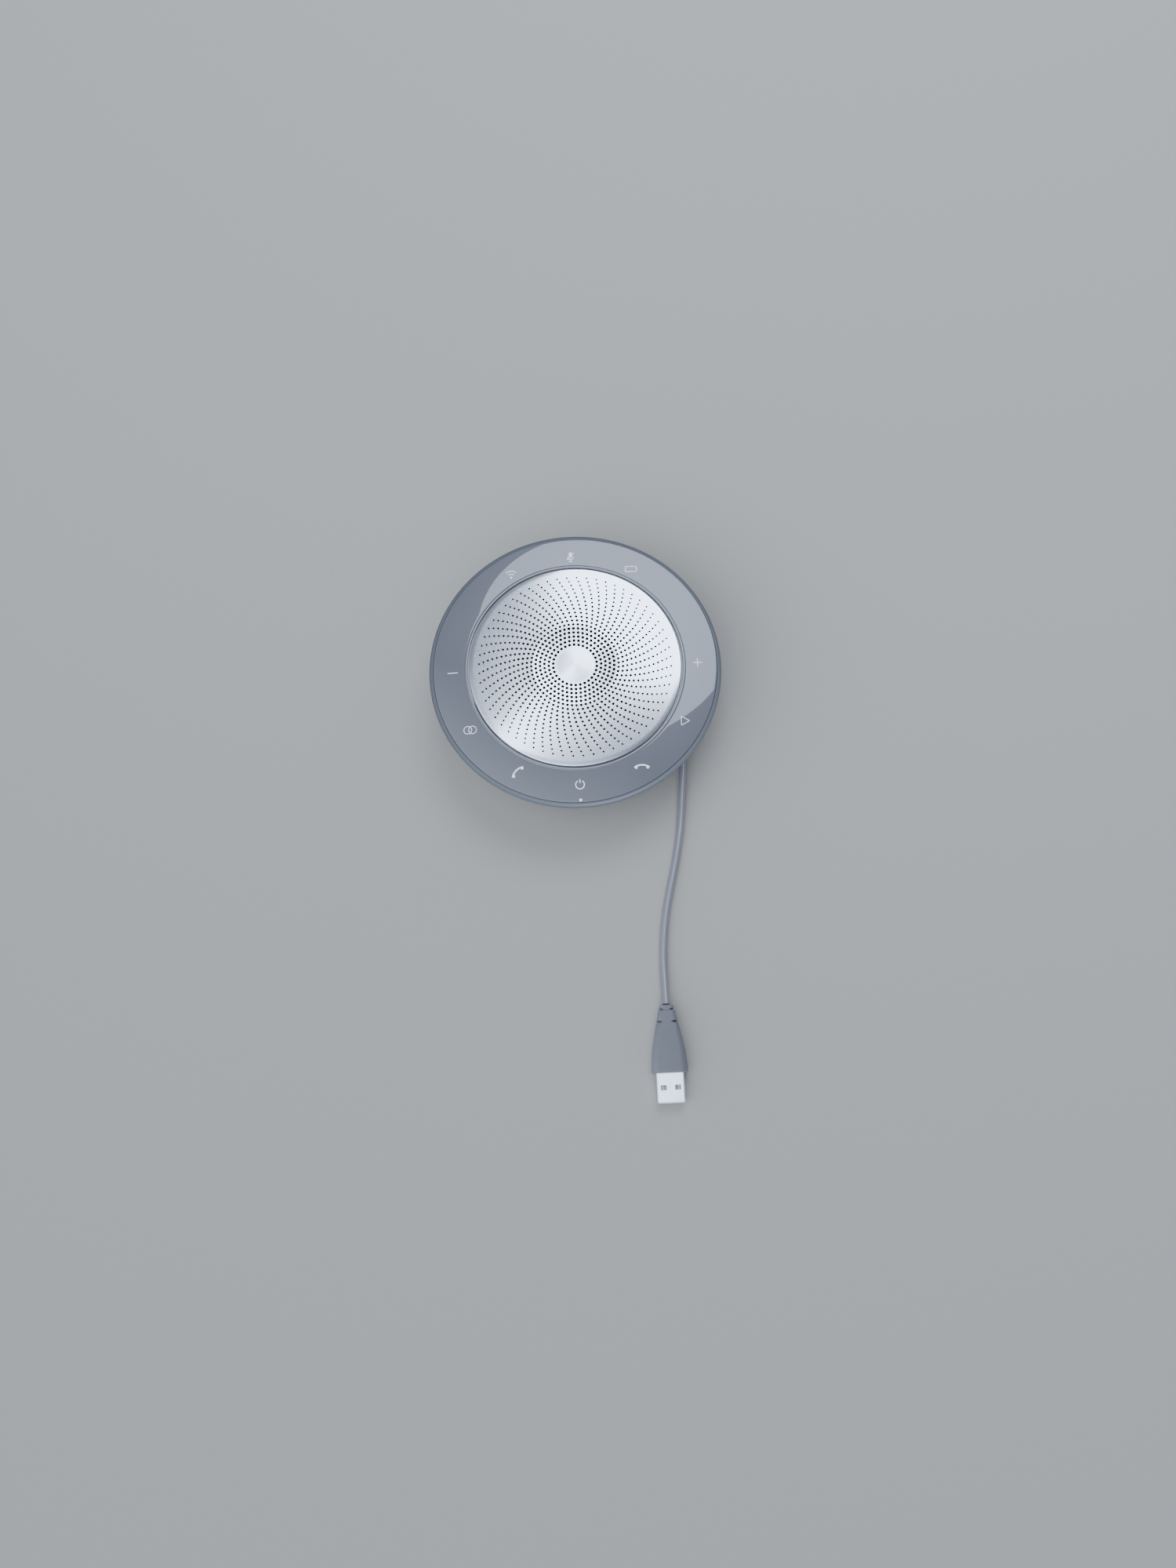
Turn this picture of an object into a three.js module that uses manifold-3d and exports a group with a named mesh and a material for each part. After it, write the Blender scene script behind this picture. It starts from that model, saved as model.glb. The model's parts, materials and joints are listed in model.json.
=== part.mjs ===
// Conference speakerphone: a round tabletop unit with a perforated speaker grille, a ring of
// touch keys, a fold-out stand and a USB cable that winds into a groove under the rim.
// Millimetres, +Z up. The origin is the centre of the foot's underside, and the front is -Y.

import * as THREE from "three";
import { mergeVertices } from "three/addons/utils/BufferGeometryUtils.js";
import Module from "manifold-3d";

const wasm = await Module();
wasm.setup();

// ---------------------------------------------------------------- driving dimensions

const rimRadius = 66;
const bodyHeight = 33;
const gap = 0.3; // clearance between neighbouring pieces
const runningGap = 0.4; // clearance round a piece that moves

// Base
const grooveDepth = 9.4; // how far the base reaches past the neck
const footInset = 1.2; // from the base's edge to the foot
const footWidth = 5;
const footHeight = 1.8;
const footStandout = 1.2; // how far the foot reaches below the cover
const coverThickness = 3;
const pocketDepth = 3.5; // recess that the stand folds into
const pocketRoof = 1.1;

// Housing
const neckRadius = 47;
const wall = 2;
const grooveHeight = 12.4; // room for the wound cable
const rimDrop = 8; // from the crown down to the joint between the two housings
const rimTaper = 1.1; // how far the rim leans in towards its lower edge
const floorThickness = 1.2;
const rimBand = 1.9; // width of the rim seen from above

// Touch ring and grille
const grilleRadius = 47.8;
const grilleThickness = 0.8;
const grilleSkirt = 3;
const ledgeWidth = 2.8; // shelf in the upper housing that carries the grille
const dishRadius = 18.7;
const dishDepth = 0.45;
const capRadius = 8.9;
const trimGap = 0.9; // dark line between the grille and its trim ring
const trimWidth = 0.8;
const ringInnerDrop = 1.5; // from the crown down to the ring's inner edge
const ringOuterDrop = 2.9; // and to its outer edge
const boardThickness = 0.8;
const guideThickness = 0.7;
const clothThickness = 0.3;

// Loudspeaker
const speakerRadius = 27;
const flangeWidth = 4.2;
const baffleThickness = 2;
const gasketThickness = 0.7;
const flangeThickness = 1;
const coneDepth = 3.7;
const coneSkin = 0.4;
const surroundWidth = 2.7;
const surroundDrop = 1.8;
const coilRadius = 7.25;
const coilWall = 0.4;
const coilLength = 8.5;
const magnetRadius = 16.5;
const magnetHeight = 3.9;
const topPlateHeight = 1.6;
const yokeHeight = 2.2;
const capRise = 2.2;

// Electronics
const mainBoardThickness = 1.2;
const mainBoardInnerRadius = 26;
const batterySize = new THREE.Vector3(44, 16.5, 7);
const foamSize = new THREE.Vector3(36, 13, 1.5);
const microphoneRadius = 2;
const microphoneHeight = 2.2;
const bootWall = 0.8;

// Screws
const screwInset = 4; // from the neck's inner face to a screw's axis
const screwHeadRadius = 1.9;
const screwHeadHeight = 1.2;
const screwShankRadius = 0.9;
const screwLength = 9;
const boardScrewLength = 5;
const bossRadius = 2.8;

// Stand
const standWidth = 34;
const standReach = 56; // from its hinge to its tip
const standThickness = 2.2;
const standPivotY = -22;
const barrelRadius = 1.5;
const hingePinRadius = 0.7;
const hingePinLength = 6.1;
const tipRadius = 9;
const padLength = 4;
const fingerNotch = new THREE.Vector2(18, 7);

// Bay that stores a small USB adapter
const bayCentre = new THREE.Vector2(30, 3.75);
const baySize = new THREE.Vector3(14.6, 21.5, 6);
const bayWall = 1.2;

// USB cable and plug
const cordRadius = 1.75;
const coilTurnGap = 0.3; // between the wound cable and the groove's walls
const grommetAngle = 100; // degrees from +X, anticlockwise
const grommetWidth = 8.4;
const grommetHeight = 4.2;
const plugX = 33.2;
const plugStartY = -150.2;
const plugHeight = 7.6;
const plugLength = 28.2;
const slitWidth = 0.9;
// The plug's two relief collars and its grip: where each ends, and its half width at both ends.
const plugCollar = { end: 1.5, narrow: 3.15, wide: 3.3 };
const plugSleeve = { end: 6.9, narrow: 3.7, wide: 4.6 };
const plugGrip = { end: plugLength, narrow: 4.9, wide: 7.9 };
const collarCore = 1.9; // half width of the rubber left behind each slit
const sleeveCore = 2.8;
const shellWidth = 12;
const shellHeight = 4.5;
const shellLength = 13.5;
const shellWall = 0.4;
const tongueHeight = 1.8;

// Facets round a full circle
const coarse = 12;
const medium = 28;
const fine = 48;

// ---------------------------------------------------------------- levels

const coverBottom = footStandout;
const coverTop = coverBottom + coverThickness;
const pocketTop = coverBottom + pocketDepth;
const islandTop = pocketTop + pocketRoof;
const neckBottom = coverTop + gap;
const grooveTop = coverTop + grooveHeight;
const bowlTop = bodyHeight - rimDrop;
const housingBottom = bowlTop + gap;
const housingFloor = housingBottom + floorThickness;
const touchBoardBottom = housingFloor + gap;
const guideBottom = touchBoardBottom + boardThickness + gap;
const ringBottom = guideBottom + guideThickness + gap;
const ringInnerTop = bodyHeight - ringInnerDrop;
const ringOuterTop = bodyHeight - ringOuterDrop;
const rimTop = ringOuterTop - gap;
const baffleTop = housingBottom + baffleThickness - gap;
const baffleBottom = baffleTop - baffleThickness;
const gasketBottom = baffleBottom - gap - gasketThickness;
const flangeTop = gasketBottom - gap;
const grilleBottom = bodyHeight - dishDepth - 1 - grilleSkirt;

// Radii that follow from the ones above
const baseRadius = neckRadius + grooveDepth;
const footOuterRadius = baseRadius - footInset;
const footInnerRadius = footOuterRadius - footWidth;
const neckInner = neckRadius - wall;
const screwCircle = neckInner - screwInset;
const islandRadius = neckInner - gap;
const trimInner = grilleRadius + trimGap;
const trimOuter = trimInner + trimWidth;
const ringInner = trimOuter + gap;
const ringOuter = rimRadius - rimBand - gap;
const ledgeInner = grilleRadius - ledgeWidth;
const coneRadius = speakerRadius - flangeWidth - surroundWidth - 2 * gap;

// ---------------------------------------------------------------- materials

const finish = (color, roughness, metalness) =>
  new THREE.MeshStandardMaterial({ color, roughness, metalness });

const rimPlastic = finish(0x5a616a, 0.45, 0);
const basePlastic = finish(0x565c66, 0.6, 0);
const ringGloss = finish(0x79818b, 0.12, 0);
const grilleMetal = finish(0xc9d0d6, 0.32, 1);
const trimMetal = finish(0xd5dade, 0.2, 1);
const footRubber = finish(0x3b3e44, 0.85, 0);
const cordRubber = finish(0x83898f, 0.7, 0);
const plugRubber = finish(0x797e8a, 0.65, 0);
const plugSteel = finish(0xdae2ec, 0.25, 1);
const screwSteel = finish(0x9aa0a6, 0.35, 1);
const contactGold = finish(0xd2b26a, 0.3, 1);
const tonguePlastic = finish(0xe8e8e4, 0.6, 0);
const clearPlastic = finish(0xe6e9ea, 0.3, 0);
const circuitBoard = finish(0x2a5a3c, 0.5, 0);
const chipPlastic = finish(0x26272a, 0.5, 0);
const shieldSteel = finish(0xb8bcc0, 0.35, 1);
const batteryFoil = finish(0xb4b9be, 0.4, 1);
const foamGrey = finish(0x4a4b4e, 0.95, 0);
const clothBlack = finish(0x303237, 0.95, 0);
const conePaper = finish(0x2c2d30, 0.9, 0);
const magnetFerrite = finish(0x4b4c4e, 0.7, 0);
const coilCopper = finish(0xb0703c, 0.4, 1);
const speakerSteel = finish(0x7f8489, 0.4, 1);
const whitePlastic = finish(0xdcdcd6, 0.5, 0);

// ---------------------------------------------------------------- shape tools

// A ring or disc turned about Z from [radius, height] points, anticlockwise seen from the side.
function turned(outline, segments = fine) {
  const loop = outline[0][0] > 0 ? [...outline, outline[0]] : outline;
  const points = loop.map(([r, z]) => new THREE.Vector2(r, z));
  return new THREE.LatheGeometry(points, segments).rotateX(Math.PI / 2);
}

function ring(inner, outer, bottom, top, segments = fine) {
  return turned([[inner, bottom], [outer, bottom], [outer, top], [inner, top]], segments);
}

function disc(radius, bottom, top, segments = coarse) {
  const height = top - bottom;
  const geometry = new THREE.CylinderGeometry(radius, radius, height, segments);
  return geometry.rotateX(Math.PI / 2).translate(0, 0, bottom + height / 2);
}

function rodAlongX(radius, from, to, y, z) {
  const geometry = new THREE.CylinderGeometry(radius, radius, to - from, coarse);
  return geometry.rotateZ(Math.PI / 2).translate((from + to) / 2, y, z);
}

function block(low, high) {
  const size = high.map((value, axis) => value - low[axis]);
  const centre = high.map((value, axis) => (value + low[axis]) / 2);
  return new THREE.BoxGeometry(...size).translate(...centre);
}

// A flat plate with the outline of a THREE.Shape.
function plate(shape, bottom, top) {
  const options = { depth: top - bottom, bevelEnabled: false, curveSegments: 4 };
  return new THREE.ExtrudeGeometry(shape, options).translate(0, 0, bottom);
}

function solid(geometry) {
  const bare = geometry.clone();
  bare.deleteAttribute("normal");
  bare.deleteAttribute("uv");
  const merged = mergeVertices(bare, 1e-4);
  return new wasm.Manifold(
    new wasm.Mesh({
      numProp: 3,
      vertProperties: merged.attributes.position.array,
      triVerts: new Uint32Array(merged.index.array),
    }),
  );
}

function geometryOf(manifold) {
  const { vertProperties, triVerts } = manifold.getMesh();
  const geometry = new THREE.BufferGeometry();
  geometry.setAttribute("position", new THREE.BufferAttribute(vertProperties, 3));
  geometry.setIndex(new THREE.BufferAttribute(triVerts, 1));
  geometry.computeVertexNormals();
  return geometry;
}

function joined(first, ...others) {
  return others.reduce((whole, next) => whole.add(solid(next)), solid(first));
}

function cut(manifold, ...tools) {
  return tools.reduce((whole, tool) => whole.subtract(solid(tool)), manifold);
}

function turnedBy(geometry, degrees) {
  return geometry.rotateZ(THREE.MathUtils.degToRad(degrees));
}

function onCircle(radius, degrees) {
  const angle = THREE.MathUtils.degToRad(degrees);
  return [radius * Math.cos(angle), radius * Math.sin(angle)];
}

const object = new THREE.Group();

function add(name, shape, material) {
  const geometry = shape.isBufferGeometry ? shape : geometryOf(shape);
  const mesh = new THREE.Mesh(geometry, material);
  mesh.name = name;
  object.add(mesh);
  return mesh;
}

const screwAngles = [45, 135, 225, 315];

// ---------------------------------------------------------------- base

function makeFoot() {
  add("foot_ring", ring(footInnerRadius, footOuterRadius, 0, footHeight), footRubber);
}

// Outline of the stand seen from above, grown by a margin for the pocket it lies in.
function standOutline(margin) {
  const half = standWidth / 2 + margin;
  const start = standPivotY - (margin > 0 ? barrelRadius + margin : 0);
  const tip = standPivotY + standReach + margin;
  const corner = tipRadius + margin;
  const shape = new THREE.Shape();
  shape.moveTo(-half, start);
  shape.lineTo(half, start);
  shape.lineTo(half, tip - corner);
  shape.absarc(half - corner, tip - corner, corner, 0, Math.PI / 2, false);
  shape.lineTo(corner - half, tip);
  shape.absarc(corner - half, tip - corner, corner, Math.PI / 2, Math.PI, false);
  shape.closePath();
  return shape;
}

const standPivotZ = pocketTop - gap - barrelRadius;
const standBottom = standPivotZ - barrelRadius;
const standTipY = standPivotY + standReach;
const barrelHalf = standWidth / 2;
const pinStart = barrelHalf - hingePinLength / 2 + gap;
const pinEnd = pinStart + hingePinLength;

function makeBottomCover() {
  const plateAndIsland = turned([
    [0, coverBottom],
    [baseRadius - 0.8, coverBottom],
    [baseRadius, coverBottom + 0.8],
    [baseRadius, coverTop],
    [islandRadius, coverTop],
    [islandRadius, islandTop],
    [0, islandTop],
  ]);
  const bayHalf = baySize.clone().multiplyScalar(0.5);
  const bayTop = coverBottom + baySize.z;
  const bayBox = block(
    [bayCentre.x - bayHalf.x - bayWall, bayCentre.y - bayHalf.y - bayWall, coverTop],
    [bayCentre.x + bayHalf.x + bayWall, bayCentre.y + bayHalf.y + bayWall, bayTop + bayWall],
  );
  const bay = block(
    [bayCentre.x - bayHalf.x, bayCentre.y - bayHalf.y, coverBottom - 1],
    [bayCentre.x + bayHalf.x, bayCentre.y + bayHalf.y, bayTop],
  );
  const footGroove = ring(
    footInnerRadius - gap, footOuterRadius + gap, coverBottom - 1, footHeight + gap,
  );
  const pocket = plate(standOutline(runningGap), coverBottom - 1, pocketTop);
  const notch = block(
    [-fingerNotch.x / 2, standTipY - tipRadius, coverBottom - 1],
    [fingerNotch.x / 2, standTipY + fingerNotch.y, pocketTop],
  );
  const pinHoles = rodAlongX(
    hingePinRadius + gap, -pinEnd - gap, pinEnd + gap, standPivotY, standPivotZ,
  );
  const screwHoles = screwAngles.flatMap((angle) => {
    const [x, y] = onCircle(screwCircle, angle);
    const headRoom = coverBottom + screwHeadHeight + 2 * gap;
    return [
      disc(screwHeadRadius + gap, coverBottom - 1, headRoom).translate(x, y, 0),
      disc(screwShankRadius + gap, coverBottom, islandTop + 1).translate(x, y, 0),
    ];
  });
  const cover = cut(
    joined(plateAndIsland, bayBox), bay, footGroove, pocket, notch, pinHoles, ...screwHoles,
  );
  add("bottom_cover", cover, basePlastic);
}

function makeStand() {
  const outline = standOutline(0);
  const plank = plate(outline, standBottom, standBottom + standThickness);
  const split = standTipY - padLength;
  const tipSide = [
    [-standWidth, split, standBottom - 1],
    [standWidth, standTipY + 1, standBottom + standThickness + 1],
  ];
  const legSide = [
    [-standWidth, split - gap, standBottom - 1],
    [standWidth, standTipY + 1, standBottom + standThickness + 1],
  ];
  const barrel = rodAlongX(barrelRadius, -barrelHalf, barrelHalf, standPivotY, standPivotZ);
  const bore = (from, to) =>
    rodAlongX(hingePinRadius + gap, from, to, standPivotY, standPivotZ);
  const leg = cut(
    joined(plank, barrel),
    block(...legSide),
    bore(pinStart - gap, barrelHalf + 1),
    bore(-barrelHalf - 1, gap - pinStart),
  );
  add("stand_leg", leg, basePlastic);
  add("stand_pad", solid(plank).intersect(solid(block(...tipSide))), footRubber);
  const pin = (from, to) => rodAlongX(hingePinRadius, from, to, standPivotY, standPivotZ);
  add("hinge_pin_right", pin(pinStart, pinEnd), screwSteel);
  add("hinge_pin_left", pin(-pinEnd, -pinStart), screwSteel);
}

// ---------------------------------------------------------------- housings

const bossTop = grooveTop + 0.7;
const bossBottom = islandTop + gap;
const coilZ = grooveTop - coilTurnGap - cordRadius;
const bowlOuter = rimRadius - rimTaper - gap;
const grommetZ = coilZ;

function makeLowerHousing() {
  const slope = (bowlTop - grooveTop) / (bowlOuter - neckRadius);
  const innerStart = grooveTop + wall / 2;
  const bowl = turned([
    [neckInner, neckBottom],
    [neckRadius, neckBottom],
    [neckRadius, grooveTop],
    [bowlOuter, bowlTop],
    [neckInner + (bowlTop - innerStart) / slope, bowlTop],
    [neckInner, innerStart],
  ]);
  const bosses = screwAngles.flatMap((angle) => {
    const [x, y] = onCircle(screwCircle, angle);
    const rib = block(
      [screwCircle, -bossRadius / 2, bossBottom],
      [neckInner + wall / 2, bossRadius / 2, bossTop],
    );
    return [disc(bossRadius, bossBottom, bossTop).translate(x, y, 0), turnedBy(rib, angle)];
  });
  const screwHoles = screwAngles.flatMap((angle) => {
    const [x, y] = onCircle(screwCircle, angle);
    const caseEnd = coverBottom + gap + screwHeadHeight + screwLength + gap;
    const boardEnd = bossTop + gap + mainBoardThickness - boardScrewLength;
    return [
      disc(screwShankRadius + gap, bossBottom - 1, caseEnd).translate(x, y, 0),
      disc(screwShankRadius + gap, boardEnd, bossTop + 1).translate(x, y, 0),
    ];
  });
  const slot = turnedBy(
    block(
      [neckInner - 2, -grommetWidth / 2 - gap, grommetZ - grommetHeight / 2 - gap],
      [neckRadius + 1, grommetWidth / 2 + gap, grommetZ + grommetHeight / 2 + gap],
    ),
    grommetAngle,
  );
  add("lower_housing", cut(joined(bowl, ...bosses), ...screwHoles, slot), basePlastic);
}

function makeGrommet() {
  const band = ring(neckInner - 0.6, neckRadius, grooveTop - 8, grooveTop);
  const window = turnedBy(
    block(
      [neckInner - 2, -grommetWidth / 2, grommetZ - grommetHeight / 2],
      [neckRadius + 1, grommetWidth / 2, grommetZ + grommetHeight / 2],
    ),
    grommetAngle,
  );
  add("cable_grommet", solid(band).intersect(solid(window)), plugRubber);
}

function makeUpperHousing() {
  const lean = rimRadius - rimTaper;
  const shoulder = rimTop - rimBand;
  const ledgeTop = grilleBottom - gap;
  const collarTop = ringInnerTop - 1.6;
  const housing = turned([
    [ledgeInner, housingBottom],
    [lean, housingBottom],
    [rimRadius, shoulder],
    [rimRadius - 0.25, shoulder + 0.9],
    [rimRadius - 0.9, rimTop - 0.3],
    [rimRadius - rimBand, rimTop],
    [rimRadius - rimBand, housingFloor],
    [trimOuter, housingFloor],
    [trimOuter, collarTop],
    [grilleRadius + gap, collarTop],
    [grilleRadius + gap, ledgeTop],
    [ledgeInner, ledgeTop],
  ]);
  add("upper_housing", housing, rimPlastic);
}

// ---------------------------------------------------------------- touch ring

function makeTouchRing() {
  const width = ringOuter - ringInner;
  const crown = 0.35; // how far the ring's top bulges above a straight cone
  const top = [0, 0.35, 0.7, 1].map((along) => [
    ringOuter - 0.3 - along * (width - 0.6),
    ringOuterTop + along * (ringInnerTop - ringOuterTop) + 4 * crown * along * (1 - along),
  ]);
  const cover = turned([
    [ringInner, ringBottom],
    [ringOuter, ringBottom],
    [ringOuter, ringOuterTop - 0.3],
    ...top,
    [ringInner, ringInnerTop - 0.3],
  ]);
  add("touch_ring_cover", cover, ringGloss);

  const inner = ringInner + gap;
  const outer = ringOuter - gap;
  const guideTop = guideBottom + guideThickness;
  add("light_guide", ring(inner, outer, guideBottom, guideTop, medium), clearPlastic);
  const boardTop = touchBoardBottom + boardThickness;
  add("touch_board", ring(inner, outer, touchBoardBottom, boardTop, medium), circuitBoard);
}

function makeTrim() {
  const bottom = ringInnerTop - 1.6 + gap;
  add("grille_trim", ring(trimInner, trimOuter, bottom, ringInnerTop + 0.1), trimMetal);
}

// ---------------------------------------------------------------- grille

// Height of the grille's face above the foot at a radius: a shallow dome with a dish in it.
function faceHeight(radius) {
  const share = radius / grilleRadius;
  return bodyHeight - share * share;
}

function makeGrille() {
  const edge = grilleRadius - 0.6;
  const dome = [edge, 42, 33, 25, dishRadius + 0.3].map((r) => [r, faceHeight(r)]);
  const dish = [
    [dishRadius - 0.3, faceHeight(dishRadius) - dishDepth],
    [capRadius + 0.2, bodyHeight - dishDepth - 0.1],
    [capRadius - 0.2, bodyHeight - 0.2],
  ];
  const under = [capRadius, dishRadius, 33, edge - grilleThickness].map((r) => [
    r,
    faceHeight(r) - dishDepth - grilleThickness,
  ]);
  const grille = turned([
    [0, bodyHeight - dishDepth - grilleThickness],
    ...under,
    [grilleRadius - grilleThickness, grilleBottom],
    [grilleRadius, grilleBottom],
    [grilleRadius, faceHeight(grilleRadius) - 0.5],
    ...dome,
    ...dish,
    [0, bodyHeight],
  ]);
  add("speaker_grille", grille, grilleMetal);

  const clothRadius = grilleRadius - grilleThickness - gap - 0.6;
  const clothBottom = grilleBottom + 0.6;
  const cloth = disc(clothRadius, clothBottom, clothBottom + clothThickness, medium);
  add("grille_cloth", cloth, clothBlack);
}

// ---------------------------------------------------------------- loudspeaker

const surroundInner = coneRadius + gap;
const surroundOuter = surroundInner + surroundWidth - gap;
const flangeBottom = flangeTop - flangeThickness;
const surroundTop = baffleBottom + 0.2;
const surroundBottom = surroundTop - surroundDrop;
const coneTop = surroundBottom + 0.6;
const coneBottom = coneTop - coneDepth;
const spiderTop = coneBottom - gap;
const spiderDrop = 1.9;
const spiderBottom = spiderTop - spiderDrop;
const basketFloorTop = spiderBottom - 0.9;
const basketFloorBottom = basketFloorTop - 1;
const topPlateTop = basketFloorBottom - gap;
const topPlateBottom = topPlateTop - topPlateHeight;
const magnetTop = topPlateBottom - gap;
const magnetBottom = magnetTop - magnetHeight;
const yokeTop = magnetBottom - gap;

function makeBaffle() {
  const inner = surroundOuter + gap;
  add("speaker_baffle", ring(inner, ledgeInner - gap, baffleBottom, baffleTop), basePlastic);
  const gasket = ring(
    inner, speakerRadius - gap, gasketBottom, gasketBottom + gasketThickness, medium,
  );
  add("speaker_gasket", gasket, foamGrey);
}

function makeBasket() {
  const flangeInner = speakerRadius - flangeWidth;
  const seatRadius = magnetRadius;
  const basket = turned(
    [
      [magnetRadius - 7, basketFloorBottom],
      [seatRadius, basketFloorBottom],
      [seatRadius + 2, basketFloorTop],
      [speakerRadius - 1.5, flangeBottom - 0.4],
      [speakerRadius, flangeBottom],
      [speakerRadius, flangeTop],
      [flangeInner, flangeTop],
      [flangeInner, flangeBottom],
      [seatRadius, basketFloorTop + 0.6],
      [magnetRadius - 7, basketFloorTop],
    ],
    medium,
  );
  add("speaker_basket", basket, speakerSteel);
}

function makeCone() {
  const inner = coilRadius + gap;
  const cone = turned(
    [
      [inner, coneBottom],
      [coneRadius - 1, coneTop - coneSkin],
      [coneRadius, coneTop - coneSkin],
      [coneRadius, coneTop],
      [coneRadius - 1, coneTop],
      [inner, coneBottom + coneSkin],
    ],
    medium,
  );
  add("speaker_cone", cone, conePaper);

  const rim = inner + 2.2;
  const slope = (coneDepth - coneSkin) / (coneRadius - 1 - inner);
  const rest = coneBottom + coneSkin + slope * (rim - inner) + gap;
  const cap = turned(
    [
      [0, rest + capRise - coneSkin],
      [rim * 0.5, rest + capRise * 0.75 - coneSkin],
      [rim - 0.6, rest],
      [rim, rest],
      [rim * 0.55, rest + capRise * 0.75],
      [0, rest + capRise],
    ],
    medium,
  );
  add("dust_cap", cap, conePaper);

  const coilTop = coneBottom + coneSkin;
  const coil = ring(coilRadius - coilWall, coilRadius, coilTop - coilLength, coilTop, medium);
  add("voice_coil", coil, coilCopper);
}

function makeSuspension() {
  const middle = (surroundInner + surroundOuter) / 2;
  const surround = turned(
    [
      [surroundInner, surroundBottom],
      [middle + 0.3, surroundBottom + 0.9],
      [surroundOuter, surroundTop - 0.4],
      [surroundOuter, surroundTop],
      [middle, surroundTop - 0.3],
      [surroundInner, surroundBottom + 0.4],
    ],
    medium,
  );
  add("cone_surround", surround, footRubber);

  const inner = coilRadius + gap;
  const outer = magnetRadius - 0.2;
  const spider = turned(
    [
      [inner, spiderTop - 0.4],
      [(inner + outer) / 2, spiderBottom + 0.7],
      [outer, spiderBottom],
      [outer, spiderBottom + 0.4],
      [(inner + outer) / 2, spiderBottom + 1.2],
      [inner, spiderTop],
    ],
    medium,
  );
  add("cone_spider", spider, contactGold);
}

function makeMagnet() {
  const bore = coilRadius + runningGap;
  const yokeRadius = magnetRadius - 1.5;
  const poleRadius = coilRadius - coilWall - runningGap;
  const topPlate = ring(bore, yokeRadius, topPlateBottom, topPlateTop, medium);
  add("magnet_top_plate", topPlate, speakerSteel);
  const magnet = ring(bore + 1.3, magnetRadius, magnetBottom, magnetTop, medium);
  add("speaker_magnet", magnet, magnetFerrite);
  const yoke = turned(
    [
      [0, yokeTop - yokeHeight],
      [yokeRadius, yokeTop - yokeHeight],
      [yokeRadius, yokeTop],
      [poleRadius, yokeTop],
      [poleRadius, topPlateTop],
      [0, topPlateTop],
    ],
    medium,
  );
  add("magnet_yoke", yoke, speakerSteel);
}

// ---------------------------------------------------------------- electronics

const boardBottom = bossTop + gap;
const boardTop = boardBottom + mainBoardThickness;

function makeMainBoard() {
  const board = ring(
    mainBoardInnerRadius, neckInner - 6 * gap, boardBottom, boardTop, medium,
  );
  const holes = screwAngles.map((angle) => {
    const [x, y] = onCircle(screwCircle, angle);
    return disc(screwShankRadius + gap, boardBottom - 1, boardTop + 1).translate(x, y, 0);
  });
  add("main_board", cut(solid(board), ...holes), circuitBoard);
}

// A chip or socket that stands on the main board, across its width, at an angle round it.
function addChip(name, angle, length, width, height, material) {
  const middle = (mainBoardInnerRadius + neckInner - 6 * gap) / 2;
  const chip = block(
    [middle - width / 2, -length / 2, boardTop + gap],
    [middle + width / 2, length / 2, boardTop + gap + height],
  );
  add(name, turnedBy(chip, angle), material);
}

function makeChips() {
  addChip("processor_shield", 90, 13, 11, 1.8, shieldSteel);
  addChip("wireless_module", 0, 13, 9, 1.6, shieldSteel);
  addChip("audio_amplifier", 180, 7, 7, 1.2, chipPlastic);
  addChip("cable_socket", 118, 7.5, 4, 2.6, whitePlastic);
  addChip("battery_socket", 250, 6, 4, 2.6, whitePlastic);
}

function makeBattery() {
  const { x, y, z } = batterySize;
  const centreY = -magnetRadius - 3 - y / 2;
  const bottom = islandTop + gap + 0.2;
  const cell = block([-x / 2, centreY - y / 2, bottom], [x / 2, centreY + y / 2, bottom + z]);
  add("battery_cell", cell, batteryFoil);
  const foam = block(
    [-foamSize.x / 2, centreY - foamSize.y / 2, bottom + z + gap],
    [foamSize.x / 2, centreY + foamSize.y / 2, bottom + z + gap + foamSize.z],
  );
  add("battery_foam", foam, foamGrey);
}

function makeMicrophone() {
  const y = 1 - ringInner;
  const top = housingBottom - gap;
  const bootRadius = microphoneRadius + gap + bootWall;
  const boot = ring(microphoneRadius + gap, bootRadius, top - 3, top, coarse);
  add("microphone_boot", boot.translate(0, y, 0), footRubber);
  const capsule = disc(microphoneRadius, top - gap - microphoneHeight, top - gap);
  add("microphone_capsule", capsule.translate(0, y, 0), shieldSteel);
}

function makeScrews() {
  screwAngles.forEach((angle, index) => {
    const [x, y] = onCircle(screwCircle, angle);
    const head = coverBottom + gap;
    const neck = head + screwHeadHeight;
    const caseScrew = turned(
      [
        [0, head],
        [screwHeadRadius, head],
        [screwHeadRadius, neck],
        [screwShankRadius, neck],
        [screwShankRadius, neck + screwLength],
        [0, neck + screwLength],
      ],
      coarse,
    );
    add(`case_screw_${index + 1}`, caseScrew.translate(x, y, 0), screwSteel);

    const seat = boardTop + gap;
    const boardScrew = turned(
      [
        [0, seat - boardScrewLength],
        [screwShankRadius, seat - boardScrewLength],
        [screwShankRadius, seat],
        [screwHeadRadius, seat],
        [screwHeadRadius, seat + screwHeadHeight],
        [0, seat + screwHeadHeight],
      ],
      coarse,
    );
    add(`board_screw_${index + 1}`, boardScrew.translate(x, y, 0), screwSteel);
  });
}

// ---------------------------------------------------------------- USB cable

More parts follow.
